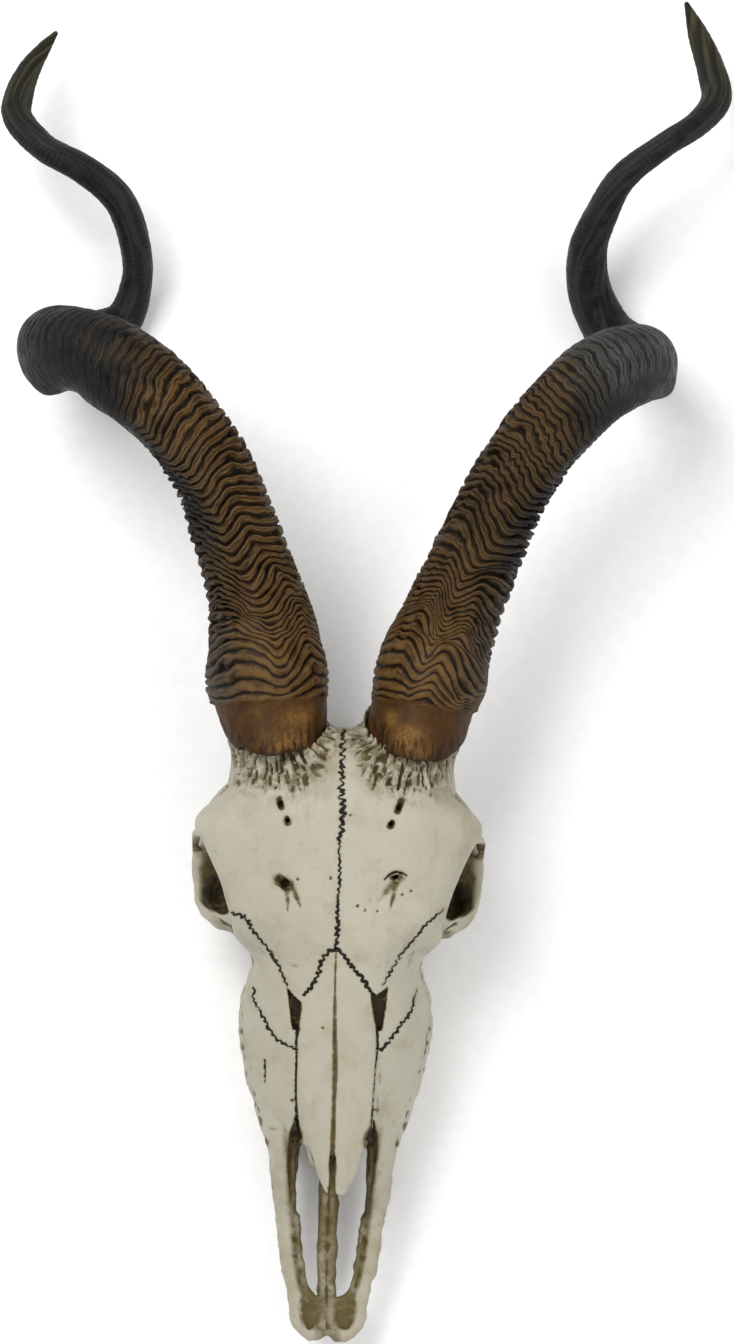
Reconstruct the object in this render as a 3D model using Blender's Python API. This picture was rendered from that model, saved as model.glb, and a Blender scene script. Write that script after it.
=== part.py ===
"""Kudu skull: a bull's cranium with its two spiral horns and its upper cheek teeth, lying face up.

The skull is drawn in a face frame: x to the right as one looks at the face, y from the muzzle to the
horn tips, and z out of the forehead, with its zero on the flat of the forehead. The rest frame then
tips it about x until the back of both horns and the cheek teeth touch the ground.
"""

import math

import bmesh
import bpy
from mathutils import Matrix, Vector

MM = 0.001
SIDES = (-1, 1)

# Pose at rest
REST_TILT = math.radians(8.27)

# Sizes that the solids are finished with, in millimetres
JOINT_GAP = 0.3
BONE_VOXEL = 2.2
BONE_SHARE_KEPT = 0.032
LOFT_SIDES = 28

# Cranium sections from the muzzle to the occiput:
# y, half width, z of the ridge, z where it is widest, z of the underside, roundness above and below
FACE = (
    (-206, 32, -42, -60, -78, 2.0, 2.8),
    (-181, 36, -32, -62, -83, 1.9, 3.0),
    (-167, 41.5, -26, -64, -90, 1.85, 3.6),
    (-153, 46, -21, -67, -96, 1.85, 4.0),
    (-138, 51, -17, -69, -100, 1.85, 4.2),
    (-110, 56.5, -11.5, -71, -104, 1.9, 4.2),
    (-89, 56.5, -9, -67, -106, 2.0, 4.0),
    (-68, 51, -7, -56, -104, 2.3, 3.2),
    (-50, 54, -5, -46, -94, 2.4, 2.4),
    (-35, 56, -5, -42, -86, 2.5, 2.2),
)
NASALS = (
    (-200, 7, -28, -31, -34, 2.5, 2.0),
    (-194, 10.5, -27, -31, -35, 2.5, 2.0),
    (-184, 14.5, -25, -30, -36, 2.5, 2.0),
    (-172, 17.5, -23, -29, -38, 2.6, 2.0),
    (-160, 21, -20, -28, -42, 2.8, 2.0),
    (-118, 23, -12.5, -24, -46, 2.8, 2.0),
    (-85, 19, -8, -22, -46, 2.6, 2.0),
    (-60, 12, -9, -22, -44, 2.4, 2.0),
)
FOREHEAD = (
    (-72, 30, -12, -24, -40, 2.4, 2.0),
    (-52, 52, -5, -24, -40, 2.6, 2.0),
    (-38, 61, -3, -24, -40, 2.7, 2.0),
    (-20, 68, -1, -24, -40, 2.8, 2.0),
    (0, 76, 0, -24, -40, 2.8, 2.0),
    (11, 81, 0, -25, -40, 2.8, 2.0),
    (19, 79.5, 0, -26, -42, 2.7, 2.0),
    (32, 65, -1, -29, -46, 2.6, 2.0),
    (46, 60, -3, -33, -54, 2.5, 2.0),
    (54, 52, -6, -36, -60, 2.4, 2.0),
    (61, 25, -11, -36, -60, 2.2, 2.0),
    (69, 12, -19, -36, -56, 2.2, 2.0),
)

# Premaxilla prongs: y, centre x, half width, z of the upper edge, z of the lower edge
PRONG = (
    (-168, 30, 7.5, -40, -82),
    (-185, 28.5, 7.5, -45, -81),
    (-202, 27, 7.6, -50, -79),
    (-230, 24, 6.8, -58, -76),
    (-246, 22, 6.9, -60, -74),
    (-260, 18.5, 6.6, -61, -72),
    (-268, 13, 11, -61, -70),
    (-279, 11.2, 11.2, -60, -68),
    (-286, 9.5, 8, -60, -66.5),
    (-291, 8.5, 4.5, -61.5, -65),
)
# Pair of palate bars grown together: y, centre x, half width, z of the upper and the lower edge
PALATE_BARS = (
    (-168, -0.5, 5.8, -66, -80),
    (-202, -1.2, 5.6, -67, -77),
    (-246, -1.4, 5.0, -65, -74),
    (-274, -0.8, 4.6, -61, -70),
)

# Cheek, ear and throat regions, each point as x on the right side, y, z and radius
CHEEK_ARCH = (
    (50, -58, -76, 9),
    (70, -36, -68, 11),
    (76.5, -23, -69, 7),
    (78, -8, -71, 5.5),
    (76, 14, -73, 5),
    (66, 33, -78, 5.5),
    (44, 42, -84, 7),
)
EAR_PROCESS = (
    (31, 44, -98, 10),
    (33, 45, -116, 7),
    (32, 44, -131, 4),
)
PTERYGOID = (
    (14, -62, -92, 8),
    (14, -40, -104, 5),
    (14, -20, -108, 4),
    (16, 6, -108, 9),
)
ORBIT_CENTRE = (69.5, -16.5, -42)
ORBIT_AXIS = (0.85, -0.35, 0.42)
ORBIT_RIM_RADIUS = 25.0
ORBIT_RIM_THICKNESS = 4.2

# Flat oval seat of each horn, tipped forward so that its front edge is the lower one
SEAT_CENTRE = (38, 68.5, -38)
SEAT_TIP = math.radians(28)
PEDICLE_CENTRE_X = 36.0
PEDICLE_HALF_WIDTH = 26.5
PEDICLE_HALF_DEPTH = 33.5
PEDICLE_DEPTH = 40.0

# Upper cheek teeth from the front one: name, length along the row, breadth, x of the centre
TEETH = (
    ("premolar_2", 11.0, 11.5, 34.5),
    ("premolar_3", 12.5, 13.5, 37.0),
    ("premolar_4", 12.5, 15.0, 38.5),
    ("molar_1", 16.0, 16.5, 40.5),
    ("molar_2", 19.0, 17.5, 41.5),
    ("molar_3", 20.0, 16.5, 41.0),
)
TOOTH_ROW_FRONT = -175.0
TOOTH_SPACING = 0.5
TOOTH_TIP_AT_BACK = -117.0
TOOTH_TIP_SLOPE = 0.15
TOOTH_HEIGHT = 24.0
TOOTH_NECK = 12.0
TOOTH_CUSP = 1.6

# Horn centre lines: x, y, z and breadth across the horn, from the base to the tip
HORN_LEFT = (
    (-38, 68.5, -38, 58.5),
    (-41.5, 86, -42, 66),
    (-43.5, 101, -44, 68.5),
    (-45.5, 115, -48, 63.5),
    (-49, 130, -52, 59.5),
    (-56, 155, -55, 52.5),
    (-76.5, 210, -56, 46.5),
    (-95, 238.5, -53, 46.5),
    (-117, 262.5, -51, 48.5),
    (-140.5, 278.5, -54, 49),
    (-163, 286.5, -67, 47.5),
    (-176, 289.5, -90, 46),
    (-176, 292.5, -119, 39),
    (-161, 299, -150.4, 30),
    (-140, 312, -164.4, 23),
    (-132, 336, -155.5, 18),
    (-134, 358, -145, 17.5),
    (-143.5, 381, -133, 17.5),
    (-164, 397, -125, 16.5),
    (-188, 410.5, -127, 15.5),
    (-205, 427, -137, 16),
    (-206.5, 441, -145, 16),
    (-200.5, 459, -154, 12.5),
    (-192, 473, -160, 8),
    (-184.5, 484, -163, 2.5),
)
HORN_RIGHT = (
    (42.5, 68.5, -38, 57.5),
    (46.5, 86, -42, 60.5),
    (50, 101, -44, 64),
    (54, 116, -49, 61),
    (64.5, 144, -54, 53),
    (87, 201, -56, 47),
    (102, 230, -55, 45.5),
    (112.5, 245.5, -53, 45.5),
    (134, 270.5, -52, 46),
    (150.5, 281, -55, 46.5),
    (164, 286, -67, 45),
    (170, 288.5, -90, 44),
    (171, 293.5, -119, 39),
    (164, 301, -147.7, 33),
    (152, 314, -161.7, 29.5),
    (141.5, 336, -157.6, 25.5),
    (139.5, 358, -146, 22),
    (145, 377, -135, 19),
    (157.5, 401, -125, 17),
    (181.5, 421, -122, 15),
    (202.5, 436.5, -131, 15.5),
    (214.5, 452, -142, 17),
    (210.5, 471, -151, 15.5),
    (203, 492, -158, 11.5),
    (195.5, 512, -161, 2.5),
)
HORN_SIDES = 14
HORN_DEPTH_SHARE = 0.95
HORN_BASE_BLEND = 45.0
HORN_RING_PITCH = 10.0
HORN_RING_HEIGHT = 1.5
HORN_SMOOTH_BASE = 16.0
HORN_RINGED_LENGTH = 300.0
HORN_FINE_STEP = 9.0
HORN_KEEL = 0.16
HORN_KEEL_SHARPNESS = 5
HORN_KEEL_START = math.radians(-90)
HORN_KEEL_TURN = math.radians(90)
HORN_KEEL_TURNS_FROM = 110.0
HORN_KEEL_TURNED_AT = 290.0
HORN_CLEARANCE = 0.6
HORN_SEAT_LENGTH = 60.0


def clear_scene():
    for obj in list(bpy.data.objects):
        bpy.data.objects.remove(obj, do_unlink=True)


def principled(name, colour, roughness):
    material = bpy.data.materials.new(name)
    material.use_nodes = True
    shader = material.node_tree.nodes["Principled BSDF"]
    shader.inputs["Base Color"].default_value = (*colour, 1.0)
    shader.inputs["Roughness"].default_value = roughness
    shader.inputs["Metallic"].default_value = 0.0
    return material


def add_object(name, bm, parent, material=None):
    """One mesh object from a bmesh. Without a material it is a helper that isn't part of the model."""
    bmesh.ops.recalc_face_normals(bm, faces=bm.faces)
    mesh = bpy.data.meshes.new(name)
    bm.to_mesh(mesh)
    bm.free()
    obj = bpy.data.objects.new(name, mesh)
    bpy.context.scene.collection.objects.link(obj)
    obj.parent = parent
    if material is None:
        obj.hide_render = True
        obj.display_type = "WIRE"
    else:
        mesh.materials.append(material)
    return obj


def signed_power(value, exponent):
    return math.copysign(abs(value) ** exponent, value)


def skin(bm, rings):
    """Closes a row of equal rings of points into one tube with flat ends."""
    made = [[bm.verts.new(point * MM) for point in ring] for ring in rings]
    for near, far in zip(made, made[1:]):
        for i, corner in enumerate(near):
            after = (i + 1) % len(near)
            bm.faces.new((corner, near[after], far[after], far[i]))
    bm.faces.new(made[0])
    bm.faces.new(made[-1])


def section(y, centre_x, half_width, top, middle, bottom, round_top, round_bottom, sides):
    """One closed outline across the skull, a superellipse whose upper and lower halves differ."""
    ring = []
    for i in range(sides):
        turn = 2 * math.pi * i / sides
        across, upward = math.cos(turn), math.sin(turn)
        power = 2 / (round_top if upward > 0 else round_bottom)
        reach = top - middle if upward > 0 else middle - bottom
        ring.append(
            Vector(
                (
                    centre_x + half_width * signed_power(across, power),
                    y,
                    middle + reach * signed_power(upward, power),
                )
            )
        )
    return ring


def add_loft(bm, stations, sides=LOFT_SIDES):
    rings = []
    for y, half, top, middle, bottom, round_top, round_bottom in stations:
        rings.append(section(y, 0, half, top, middle, bottom, round_top, round_bottom, sides))
    skin(bm, rings)


def tangents_along(points):
    tangents = []
    for i in range(len(points)):
        before = points[max(i - 1, 0)]
        after = points[min(i + 1, len(points) - 1)]
        tangents.append((after - before).normalized())
    return tangents


def frames_along(tangents, across=None):
    """Two crosswise unit vectors at each tangent of a path, carried along it with no twist."""
    across = across or tangents[0].orthogonal()
    frames = []
    for i, tangent in enumerate(tangents):
        if i:
            across = tangents[i - 1].rotation_difference(tangent) @ across
        across = (across - across.dot(tangent) * tangent).normalized()
        frames.append((across, tangent.cross(across)))
    return frames


def add_tube(bm, stations, side, sides=12):
    """A round bar through stations of x, y, z and radius, on one side of the skull."""
    points = [Vector((side * x, y, z)) for x, y, z, _ in stations]
    rings = []
    frames = frames_along(tangents_along(points))
    for point, (_, _, _, radius), (first, second) in zip(points, stations, frames):
        ring = []
        for i in range(sides):
            turn = 2 * math.pi * i / sides
            ring.append(point + radius * (math.cos(turn) * first + math.sin(turn) * second))
        rings.append(ring)
    skin(bm, rings)


def add_ellipsoid(bm, centre, radii, side=1):
    place = Matrix.Translation(Vector((side * centre[0], centre[1], centre[2])) * MM)
    shape = Matrix.Diagonal((*(radius * MM for radius in radii), 1))
    bmesh.ops.create_icosphere(bm, subdivisions=4, radius=1.0, matrix=place @ shape)


def add_ring(bm, centre, axis, radius, thickness, side):
    """A torus round the given axis."""
    middle = Vector((side * centre[0], centre[1], centre[2]))
    normal = Vector((side * axis[0], axis[1], axis[2])).normalized()
    first = normal.orthogonal().normalized()
    second = normal.cross(first)
    around, section_sides = 36, 10
    made = []
    for i in range(around):
        turn = 2 * math.pi * i / around
        outward = math.cos(turn) * first + math.sin(turn) * second
        ring = []
        for j in range(section_sides):
            roll = 2 * math.pi * j / section_sides
            offset = (radius + thickness * math.cos(roll)) * outward
            offset += thickness * math.sin(roll) * normal
            ring.append(bm.verts.new((middle + offset) * MM))
        made.append(ring)
    for i, ring in enumerate(made):
        following = made[(i + 1) % around]
        for j, corner in enumerate(ring):
            after = (j + 1) % section_sides
            bm.faces.new((corner, ring[after], following[after], following[j]))


def smooth_path(points, step):
    """Points about one step apart on a Catmull-Rom curve through rows of numbers."""
    rows = [Vector(point) for point in points]
    rows = [2 * rows[0] - rows[1], *rows, 2 * rows[-1] - rows[-2]]
    path = []
    for p0, p1, p2, p3 in zip(rows, rows[1:], rows[2:], rows[3:]):
        pieces = max(1, round((p2.xyz - p1.xyz).length / step))
        for i in range(pieces):
            t = i / pieces
            path.append(
                0.5
                * (
                    2 * p1
                    + (p2 - p0) * t
                    + (2 * p0 - 5 * p1 + 4 * p2 - p3) * t * t
                    + (3 * p1 - p0 - 3 * p2 + p3) * t * t * t
                )
            )
    path.append(rows[-2])
    return path


def seat_normal(side):
    """The way out of the flat seat that a horn sits on."""
    return Vector((side * 0.05, math.cos(SEAT_TIP), math.sin(SEAT_TIP))).normalized()


def flat_section(y, centre_x, half, top, low, sides):
    return section(y, centre_x, half, top, (top + low) / 2, low, 2.8, 2.8, sides)


def add_cranium(bm):
    add_loft(bm, FACE)
    add_loft(bm, NASALS)
    add_loft(bm, FOREHEAD)
    add_ellipsoid(bm, (0, 16, -78), (44, 47, 40))
    add_ellipsoid(bm, (0, 44, -98), (36, 22, 24))
    for side in SIDES:
        skin(bm, [flat_section(y, side * x, half, top, low, 14) for y, x, half, top, low in PRONG])
        add_tube(bm, CHEEK_ARCH, side)
        add_tube(bm, EAR_PROCESS, side)
        add_tube(bm, PTERYGOID, side)
        add_ellipsoid(bm, (58, -38, -64), (14, 18, 20), side)
        add_ellipsoid(bm, (65, -22, -71), (14, 20, 10), side)
        add_ellipsoid(bm, (54, -40, -36), (14, 16, 22), side)
        add_ellipsoid(bm, (69, 9, -38), (9, 9, 12), side)
        add_ellipsoid(bm, (18, 57, -116), (11, 12, 13), side)
        add_ellipsoid(bm, (25, 22, -116), (10, 14, 13), side)
        add_ring(bm, ORBIT_CENTRE, ORBIT_AXIS, ORBIT_RIM_RADIUS, ORBIT_RIM_THICKNESS, side)
        add_pedicle(bm, side)


def add_pedicle(bm, side):
    """The bone stump that a horn sits on, run a little past the seat, to which it is cut later."""
    axis = seat_normal(side)
    centre = Vector((side * PEDICLE_CENTRE_X, SEAT_CENTRE[1], SEAT_CENTRE[2]))
    first = Vector((1, 0, 0))
    second = axis.cross(first).normalized()
    rings = []
    for depth, growth in ((PEDICLE_DEPTH, 1.1), (PEDICLE_DEPTH / 2, 1.0), (-6.0, 1.0)):
        ring = []
        for i in range(LOFT_SIDES):
            turn = 2 * math.pi * i / LOFT_SIDES
            offset = PEDICLE_HALF_WIDTH * math.cos(turn) * first
            offset += PEDICLE_HALF_DEPTH * math.sin(turn) * second
            ring.append(centre - depth * axis + growth * offset)
        rings.append(ring)
    skin(bm, rings)


def add_cavities(bm):
    """The spaces cut out of the bone: nose, eye sockets, tear gaps, palate, brain opening."""
    nose = (
        (-216, 21, -34, -56, -92, 2.6, 4.0),
        (-178, 21, -35, -56, -92, 2.6, 4.0),
        (-175, 21, -35, -56, -76, 2.6, 4.0),
        (-150, 21, -33, -56, -78, 2.4, 3.0),
        (-122, 18, -30, -56, -78, 2.2, 3.0),
        (-104, 9, -38, -56, -70, 2.0, 2.0),
    )
    add_loft(bm, nose)
    palate = (
        (-186, 12, -80, -92, -104, 2.2, 3.0),
        (-150, 22, -84, -100, -124, 2.2, 3.0),
        (-100, 26, -90, -110, -130, 2.2, 3.0),
        (-66, 24, -88, -112, -134, 2.2, 3.0),
    )
    add_loft(bm, palate)
    choana = (
        (-74, 8, -82, -94, -120, 2.0, 2.0),
        (-40, 9, -80, -96, -124, 2.0, 2.0),
        (-16, 8, -90, -102, -124, 2.0, 2.0),
    )
    add_loft(bm, choana)
    brain = [Vector((0, y, z)) for y, z in ((30, -96), (60, -108), (84, -118))]
    stations = [(0, point.y, point.z, radius) for point, radius in zip(brain, (9, 9.5, 11))]
    add_tube(bm, stations, 1, 16)
    for side in SIDES:
        add_ellipsoid(bm, (79, -18, -43), (30, 22, 20.5), side)
        add_ellipsoid(bm, (17.5, -182, -40), (3.2, 10, 22), side)
        add_ellipsoid(bm, (58, 16, -62), (12, 18, 26), side)


def add_nasal_notch(bm):
    """The notch between the free tips of the two nasal bones."""
    rings = [
        [Vector((x, y, z)) for x, y in ((-width, -206), (width, -206), (0, -184))]
        for z, width in ((-16, 3.4), (-46, 3.4))
    ]
    skin(bm, rings)


def tooth_places():
    """Name, front end, length, breadth, centre x and tip height of each tooth down one row."""
    places = []
    front = TOOTH_ROW_FRONT
    back_end = front + sum(tooth[1] for tooth in TEETH) + TOOTH_SPACING * (len(TEETH) - 1)
    for name, length, breadth, centre_x in TEETH:
        tip = TOOTH_TIP_AT_BACK + TOOTH_TIP_SLOPE * (back_end - front - length)
        places.append((name, front, length, breadth, centre_x, tip))
        front += length + TOOTH_SPACING
    return places


def add_tooth(bm, place, side, growth=0.0):
    """A cheek tooth: a tapered block with two crests and a valley along its worn face."""
    _, front, length, breadth, centre_x, tip = place
    levels = ((TOOTH_HEIGHT, 0.78), (TOOTH_NECK, 0.97), (TOOTH_CUSP, 1.0))
    middle_y = front + length / 2
    rings = []
    for height, share in levels:
        rings.append(tooth_ring(side, centre_x, middle_y, tip + height, length, breadth, share, growth))
    if growth:
        skin(bm, rings)
        return
    crest = tooth_ring(side, centre_x, middle_y, tip, length, breadth, 0.74, 0)
    valley = tooth_ring(side, centre_x, middle_y, tip + 2 * TOOTH_CUSP, length, breadth, 0.3, 0)
    skin(bm, [*rings, crest, valley])


def tooth_ring(side, centre_x, middle_y, z, length, breadth, share, growth):
    corners = ((1, 0.6), (0.7, 1.0), (-0.7, 1.0), (-1, 0.6))
    outline = [*corners, *((-x, -y) for x, y in corners)]
    half_breadth = breadth / 2 * share + growth
    half_length = length / 2 * (0.5 + 0.5 * share) + growth
    return [
        Vector((side * centre_x + half_breadth * x, middle_y + half_length * y, z)) for x, y in outline
    ]


def modifier(obj, kind, name, **settings):
    added = obj.modifiers.new(name, kind)
    for key, value in settings.items():
        setattr(added, key, value)
    return added


def build_skull(parent, material):
    bm = bmesh.new()
    add_cranium(bm)
    skull = add_object("skull", bm, parent, material)
    bm = bmesh.new()
    add_cavities(bm)
    cavities = add_object("cavities", bm, parent)
    modifier(cavities, "REMESH", "one body", mode="VOXEL", voxel_size=BONE_VOXEL * MM)
    bm = bmesh.new()
    skin(bm, [flat_section(*station, 12) for station in PALATE_BARS])
    bars = add_object("palate_bars", bm, parent)
    bm = bmesh.new()
    add_nasal_notch(bm)
    for side, stations in zip(SIDES, (HORN_LEFT, HORN_RIGHT)):
        add_horn_seat(bm, stations, side)
        for place in tooth_places():
            add_tooth(bm, place, side, JOINT_GAP)
    seats = add_object("seats", bm, parent)
    modifier(skull, "REMESH", "one body", mode="VOXEL", voxel_size=BONE_VOXEL * MM)
    modifier(skull, "SMOOTH", "soften joins", factor=0.5, iterations=5)
    modifier(skull, "BOOLEAN", "open cavities", operation="DIFFERENCE", object=cavities)
    modifier(skull, "BOOLEAN", "palate bars", operation="UNION", object=bars)
    modifier(skull, "REMESH", "even", mode="VOXEL", voxel_size=BONE_VOXEL * MM)
    modifier(skull, "SMOOTH", "soften edges", factor=0.5, iterations=2)
    modifier(skull, "DECIMATE", "facets", ratio=BONE_SHARE_KEPT)
    modifier(skull, "BOOLEAN", "seat horns and teeth", operation="DIFFERENCE", object=seats)
    return skull


def horn_section(centre, frame, breadth, slant, keel_turn, growth):
    """One outline across a horn: an oval drawn out to a keel, and deeper where the cut is slanted."""
    first, second = frame
    ring = []
    for i in range(HORN_SIDES):
        turn = 2 * math.pi * i / HORN_SIDES
        keel = HORN_KEEL * max(0.0, math.cos(turn - keel_turn)) ** HORN_KEEL_SHARPNESS
        radius = breadth / 2 * (1 + keel) + growth
        depth = radius * HORN_DEPTH_SHARE * slant
        ring.append(centre + radius * math.cos(turn) * first + depth * math.sin(turn) * second)
    return ring


def smooth_step(value, start, end):
    share = min(1.0, max(0.0, (value - start) / (end - start)))
    return share * share * (3 - 2 * share)


def horn_rings(stations, side, growth=0.0, length=None):
    """Outlines up a horn, ridged where the horn is ringed, or plain and grown for a cutter."""
    path = smooth_path(stations, HORN_RING_PITCH / 2)
    points = [row.xyz for row in path]
    lengths = [0.0]
    for before, after in zip(points, points[1:]):
        lengths.append(lengths[-1] + (after - before).length)
    courses = tangents_along(points)
    tangents = [
        seat_normal(side).lerp(course, smooth_step(along, 0, HORN_BASE_BLEND)).normalized()
        for course, along in zip(courses, lengths)
    ]
    slants = [1 / tangent.dot(course) for tangent, course in zip(tangents, courses)]
    frames = frames_along(tangents, Vector((1, 0, 0)))
    rings = []
    last = 0.0
    for i, (point, row, along, slant) in enumerate(zip(points, path, lengths, slants)):
        if length and along > length:
            break
        ringed = HORN_SMOOTH_BASE < along < HORN_RINGED_LENGTH
        if i and not ringed and along - last < HORN_FINE_STEP and i < len(points) - 1:
            continue
        last = along
        relief = HORN_RING_HEIGHT * (0.5 if i % 2 else -0.5) if ringed and not growth else 0.0
        turned = HORN_KEEL_TURN * smooth_step(along, HORN_KEEL_TURNS_FROM, HORN_KEEL_TURNED_AT)
        keel_turn = HORN_KEEL_START + side * turned
        rings.append(horn_section(point, frames[i], row.w, slant, keel_turn, relief + growth))
    return rings


def add_horn_seat(bm, stations, side):
    """The room that a horn takes above the bone, which trims the bone to the horn's flat base."""
    rings = horn_rings(stations, side, HORN_CLEARANCE, HORN_SEAT_LENGTH)
    drop = JOINT_GAP * seat_normal(side)
    rings[0] = [point - drop for point in rings[0]]
    skin(bm, rings)


def build_horn(name, stations, side, parent, material):
    bm = bmesh.new()
    skin(bm, horn_rings(stations, side))
    return add_object(name, bm, parent, material)


def build_teeth(parent, material):
    teeth = []
    for side, side_name in zip(SIDES, ("left", "right")):
        for place in tooth_places():
            bm = bmesh.new()
            add_tooth(bm, place, side)
            teeth.append(add_object(f"{place[0]}_{side_name}", bm, parent, material))
    return teeth


def settle(rest_frame, nodes):
    """Tips the model to its pose at rest and puts the middle of its underside at the origin."""
    rest_frame.rotation_euler = (REST_TILT, 0, 0)
    bpy.context.view_layer.update()
    graph = bpy.context.evaluated_depsgraph_get()
    corners = []
    for node in nodes:
        evaluated = node.evaluated_get(graph)
        mesh = evaluated.to_mesh()
        corners += [evaluated.matrix_world @ vertex.co for vertex in mesh.vertices]
        evaluated.to_mesh_clear()
    low = Vector(min(corner[i] for corner in corners) for i in range(3))
    high = Vector(max(corner[i] for corner in corners) for i in range(3))
    rest_frame.location = (-(low.x + high.x) / 2, -(low.y + high.y) / 2, -low.z)


def main():
    clear_scene()
    bone = principled("bone", (0.56, 0.52, 0.42), 0.62)
    horn = principled("horn", (0.09, 0.055, 0.03), 0.48)
    tooth = principled("tooth", (0.62, 0.56, 0.42), 0.38)
    rest_frame = bpy.data.objects.new("rest_frame", None)
    bpy.context.scene.collection.objects.link(rest_frame)
    nodes = [build_skull(rest_frame, bone)]
    nodes.append(build_horn("horn_left", HORN_LEFT, -1, rest_frame, horn))
    nodes.append(build_horn("horn_right", HORN_RIGHT, 1, rest_frame, horn))
    nodes += build_teeth(rest_frame, tooth)
    settle(rest_frame, nodes)


main()
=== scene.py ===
import math

import bmesh
import bpy
import numpy as np
from mathutils import Matrix, Vector, noise
from mathutils.bvhtree import BVHTree
from mathutils.kdtree import KDTree


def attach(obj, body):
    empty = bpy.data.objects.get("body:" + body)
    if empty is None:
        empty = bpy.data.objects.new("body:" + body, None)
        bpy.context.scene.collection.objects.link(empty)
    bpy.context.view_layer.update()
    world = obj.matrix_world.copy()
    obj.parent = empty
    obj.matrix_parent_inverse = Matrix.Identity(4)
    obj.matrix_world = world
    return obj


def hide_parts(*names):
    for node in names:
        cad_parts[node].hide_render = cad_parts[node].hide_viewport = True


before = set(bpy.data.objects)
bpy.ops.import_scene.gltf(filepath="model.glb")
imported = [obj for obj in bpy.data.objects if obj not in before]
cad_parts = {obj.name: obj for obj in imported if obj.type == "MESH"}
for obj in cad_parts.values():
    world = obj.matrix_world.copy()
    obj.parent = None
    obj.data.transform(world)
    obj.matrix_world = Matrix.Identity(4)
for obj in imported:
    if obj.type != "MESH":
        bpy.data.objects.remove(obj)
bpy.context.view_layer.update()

MM = 0.001
SIDES = (-1, 1)

# The face frame is in millimetres: x to the right as one looks at the face, y from the muzzle to the
# horn tips, z out of the forehead. At rest it is tipped about x and moved onto the ground.
REST_TILT = math.radians(8.27)
REST_PLACE = (-3.8935, -126.2032, 130.2128)
FLOOR_GAP = 0.0001
TO_REST = (
    Matrix.Translation(Vector(REST_PLACE) * MM) @ Matrix.Rotation(REST_TILT, 4, "X") @ Matrix.Scale(MM, 4)
)

# Camera: straight above the face plane, at this height and over this point of it, in the face frame
CAMERA_HEIGHT = 2600.0
CAMERA_OVER = (13.05, 101.8, 0.0)
CAMERA_ROLL = math.radians(1.51)
PIXEL_SIZE = 0.57
IMAGE_HEIGHT = 1344
SENSOR_HEIGHT = 36.0

# Cranium sections from the muzzle to the occiput:
# y, half width, z of the ridge, z where it is widest, z of the underside, roundness above and below
FACE = (
    (-206, 32, -42, -60, -78, 2.0, 2.8),
    (-181, 36, -32, -62, -83, 1.9, 3.0),
    (-167, 41.5, -26, -64, -90, 1.85, 3.6),
    (-153, 46, -21, -67, -96, 1.85, 4.0),
    (-138, 51, -17, -69, -100, 1.85, 4.2),
    (-110, 56.5, -11.5, -71, -104, 1.9, 4.2),
    (-89, 55, -9, -67, -106, 2.0, 4.0),
    (-68, 49, -7, -56, -104, 2.3, 3.2),
    (-50, 54, -5, -46, -94, 2.4, 2.4),
    (-35, 56, -5, -42, -86, 2.5, 2.2),
    (-25, 36, -9, -42, -84, 2.4, 2.2),
    (-12, 24, -17, -42, -80, 2.2, 2.2),
)
NASALS = (
    (-200, 3.0, 5, -28, -31, -34, 2.5, 2.0),
    (-196, 2.9, 7.5, -27.5, -31, -35, 2.5, 2.0),
    (-189, 3.3, 10.8, -26, -30.5, -36, 2.5, 2.0),
    (-178, 3.5, 14.4, -24, -29.5, -37, 2.5, 2.0),
    (-168, 3.1, 17.9, -22, -29, -39, 2.6, 2.0),
    (-156, 2.4, 21.0, -19.4, -28, -42, 2.8, 2.0),
    (-118, 1.2, 23, -12.5, -24, -46, 2.8, 2.0),
    (-85, 0, 19, -8, -22, -46, 2.6, 2.0),
    (-60, 0, 12, -9, -22, -44, 2.4, 2.0),
)
FOREHEAD = (
    (-68, 24, -12, -24, -40, 2.4, 2.0),
    (-54, 42, -6, -24, -40, 2.5, 2.0),
    (-46, 54, -4.5, -25, -40, 2.6, 2.0),
    (-38, 61.5, -3, -25, -40, 2.7, 2.0),
    (-20, 68, -1, -24, -40, 2.8, 2.0),
    (0, 77, 0, -24, -40, 2.8, 2.0),
    (8, 82, 0, -25, -40, 2.8, 2.0),
    (14, 82.5, 0, -25.5, -41, 2.8, 2.0),
    (20, 79, 0, -26.5, -42, 2.7, 2.0),
    (32, 65.5, -1, -29, -46, 2.6, 2.0),
    (46, 60, -3, -33, -54, 2.5, 2.0),
    (54, 52, -6, -36, -60, 2.4, 2.0),
    (61, 25, -11, -36, -60, 2.2, 2.0),
    (69, 12, -19, -36, -56, 2.2, 2.0),
)
# Premaxilla prongs: y, centre x, half width, z of the upper edge, z of the lower edge
PRONG = (
    (-168, 30, 7.5, -40, -82),
    (-185, 28.5, 7.5, -45, -81),
    (-202, 27, 7.6, -50, -79),
    (-230, 24, 6.8, -58, -76),
    (-246, 22, 6.9, -60, -74),
    (-260, 18.5, 6.6, -61, -72),
    (-268, 13, 11, -61, -70),
    (-279, 11.2, 11.2, -60, -68),
    (-285, 9.5, 8, -60, -66.5),
    (-289.4, 8.5, 4.5, -61.5, -65),
)
PALATE_BARS = (
    (-168, -0.5, 5.8, -66, -80),
    (-202, -1.2, 5.6, -67, -77),
    (-246, -1.4, 5.0, -65, -74),
    (-274, -0.8, 4.6, -61, -70),
)
CHEEK_ARCH = (
    (44, -57, -75, 6.8),
    (59, -45, -73, 8),
    (70.5, -36, -69, 11),
    (76.5, -23, -69, 7),
    (78, -8, -71, 5.5),
    (76, 14, -73, 5),
    (60, 33, -78, 5.5),
    (44, 42, -84, 7),
)
EAR_PROCESS = (
    (31, 44, -98, 10),
    (33, 45, -116, 7),
    (32, 44, -131, 4),
)
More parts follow.
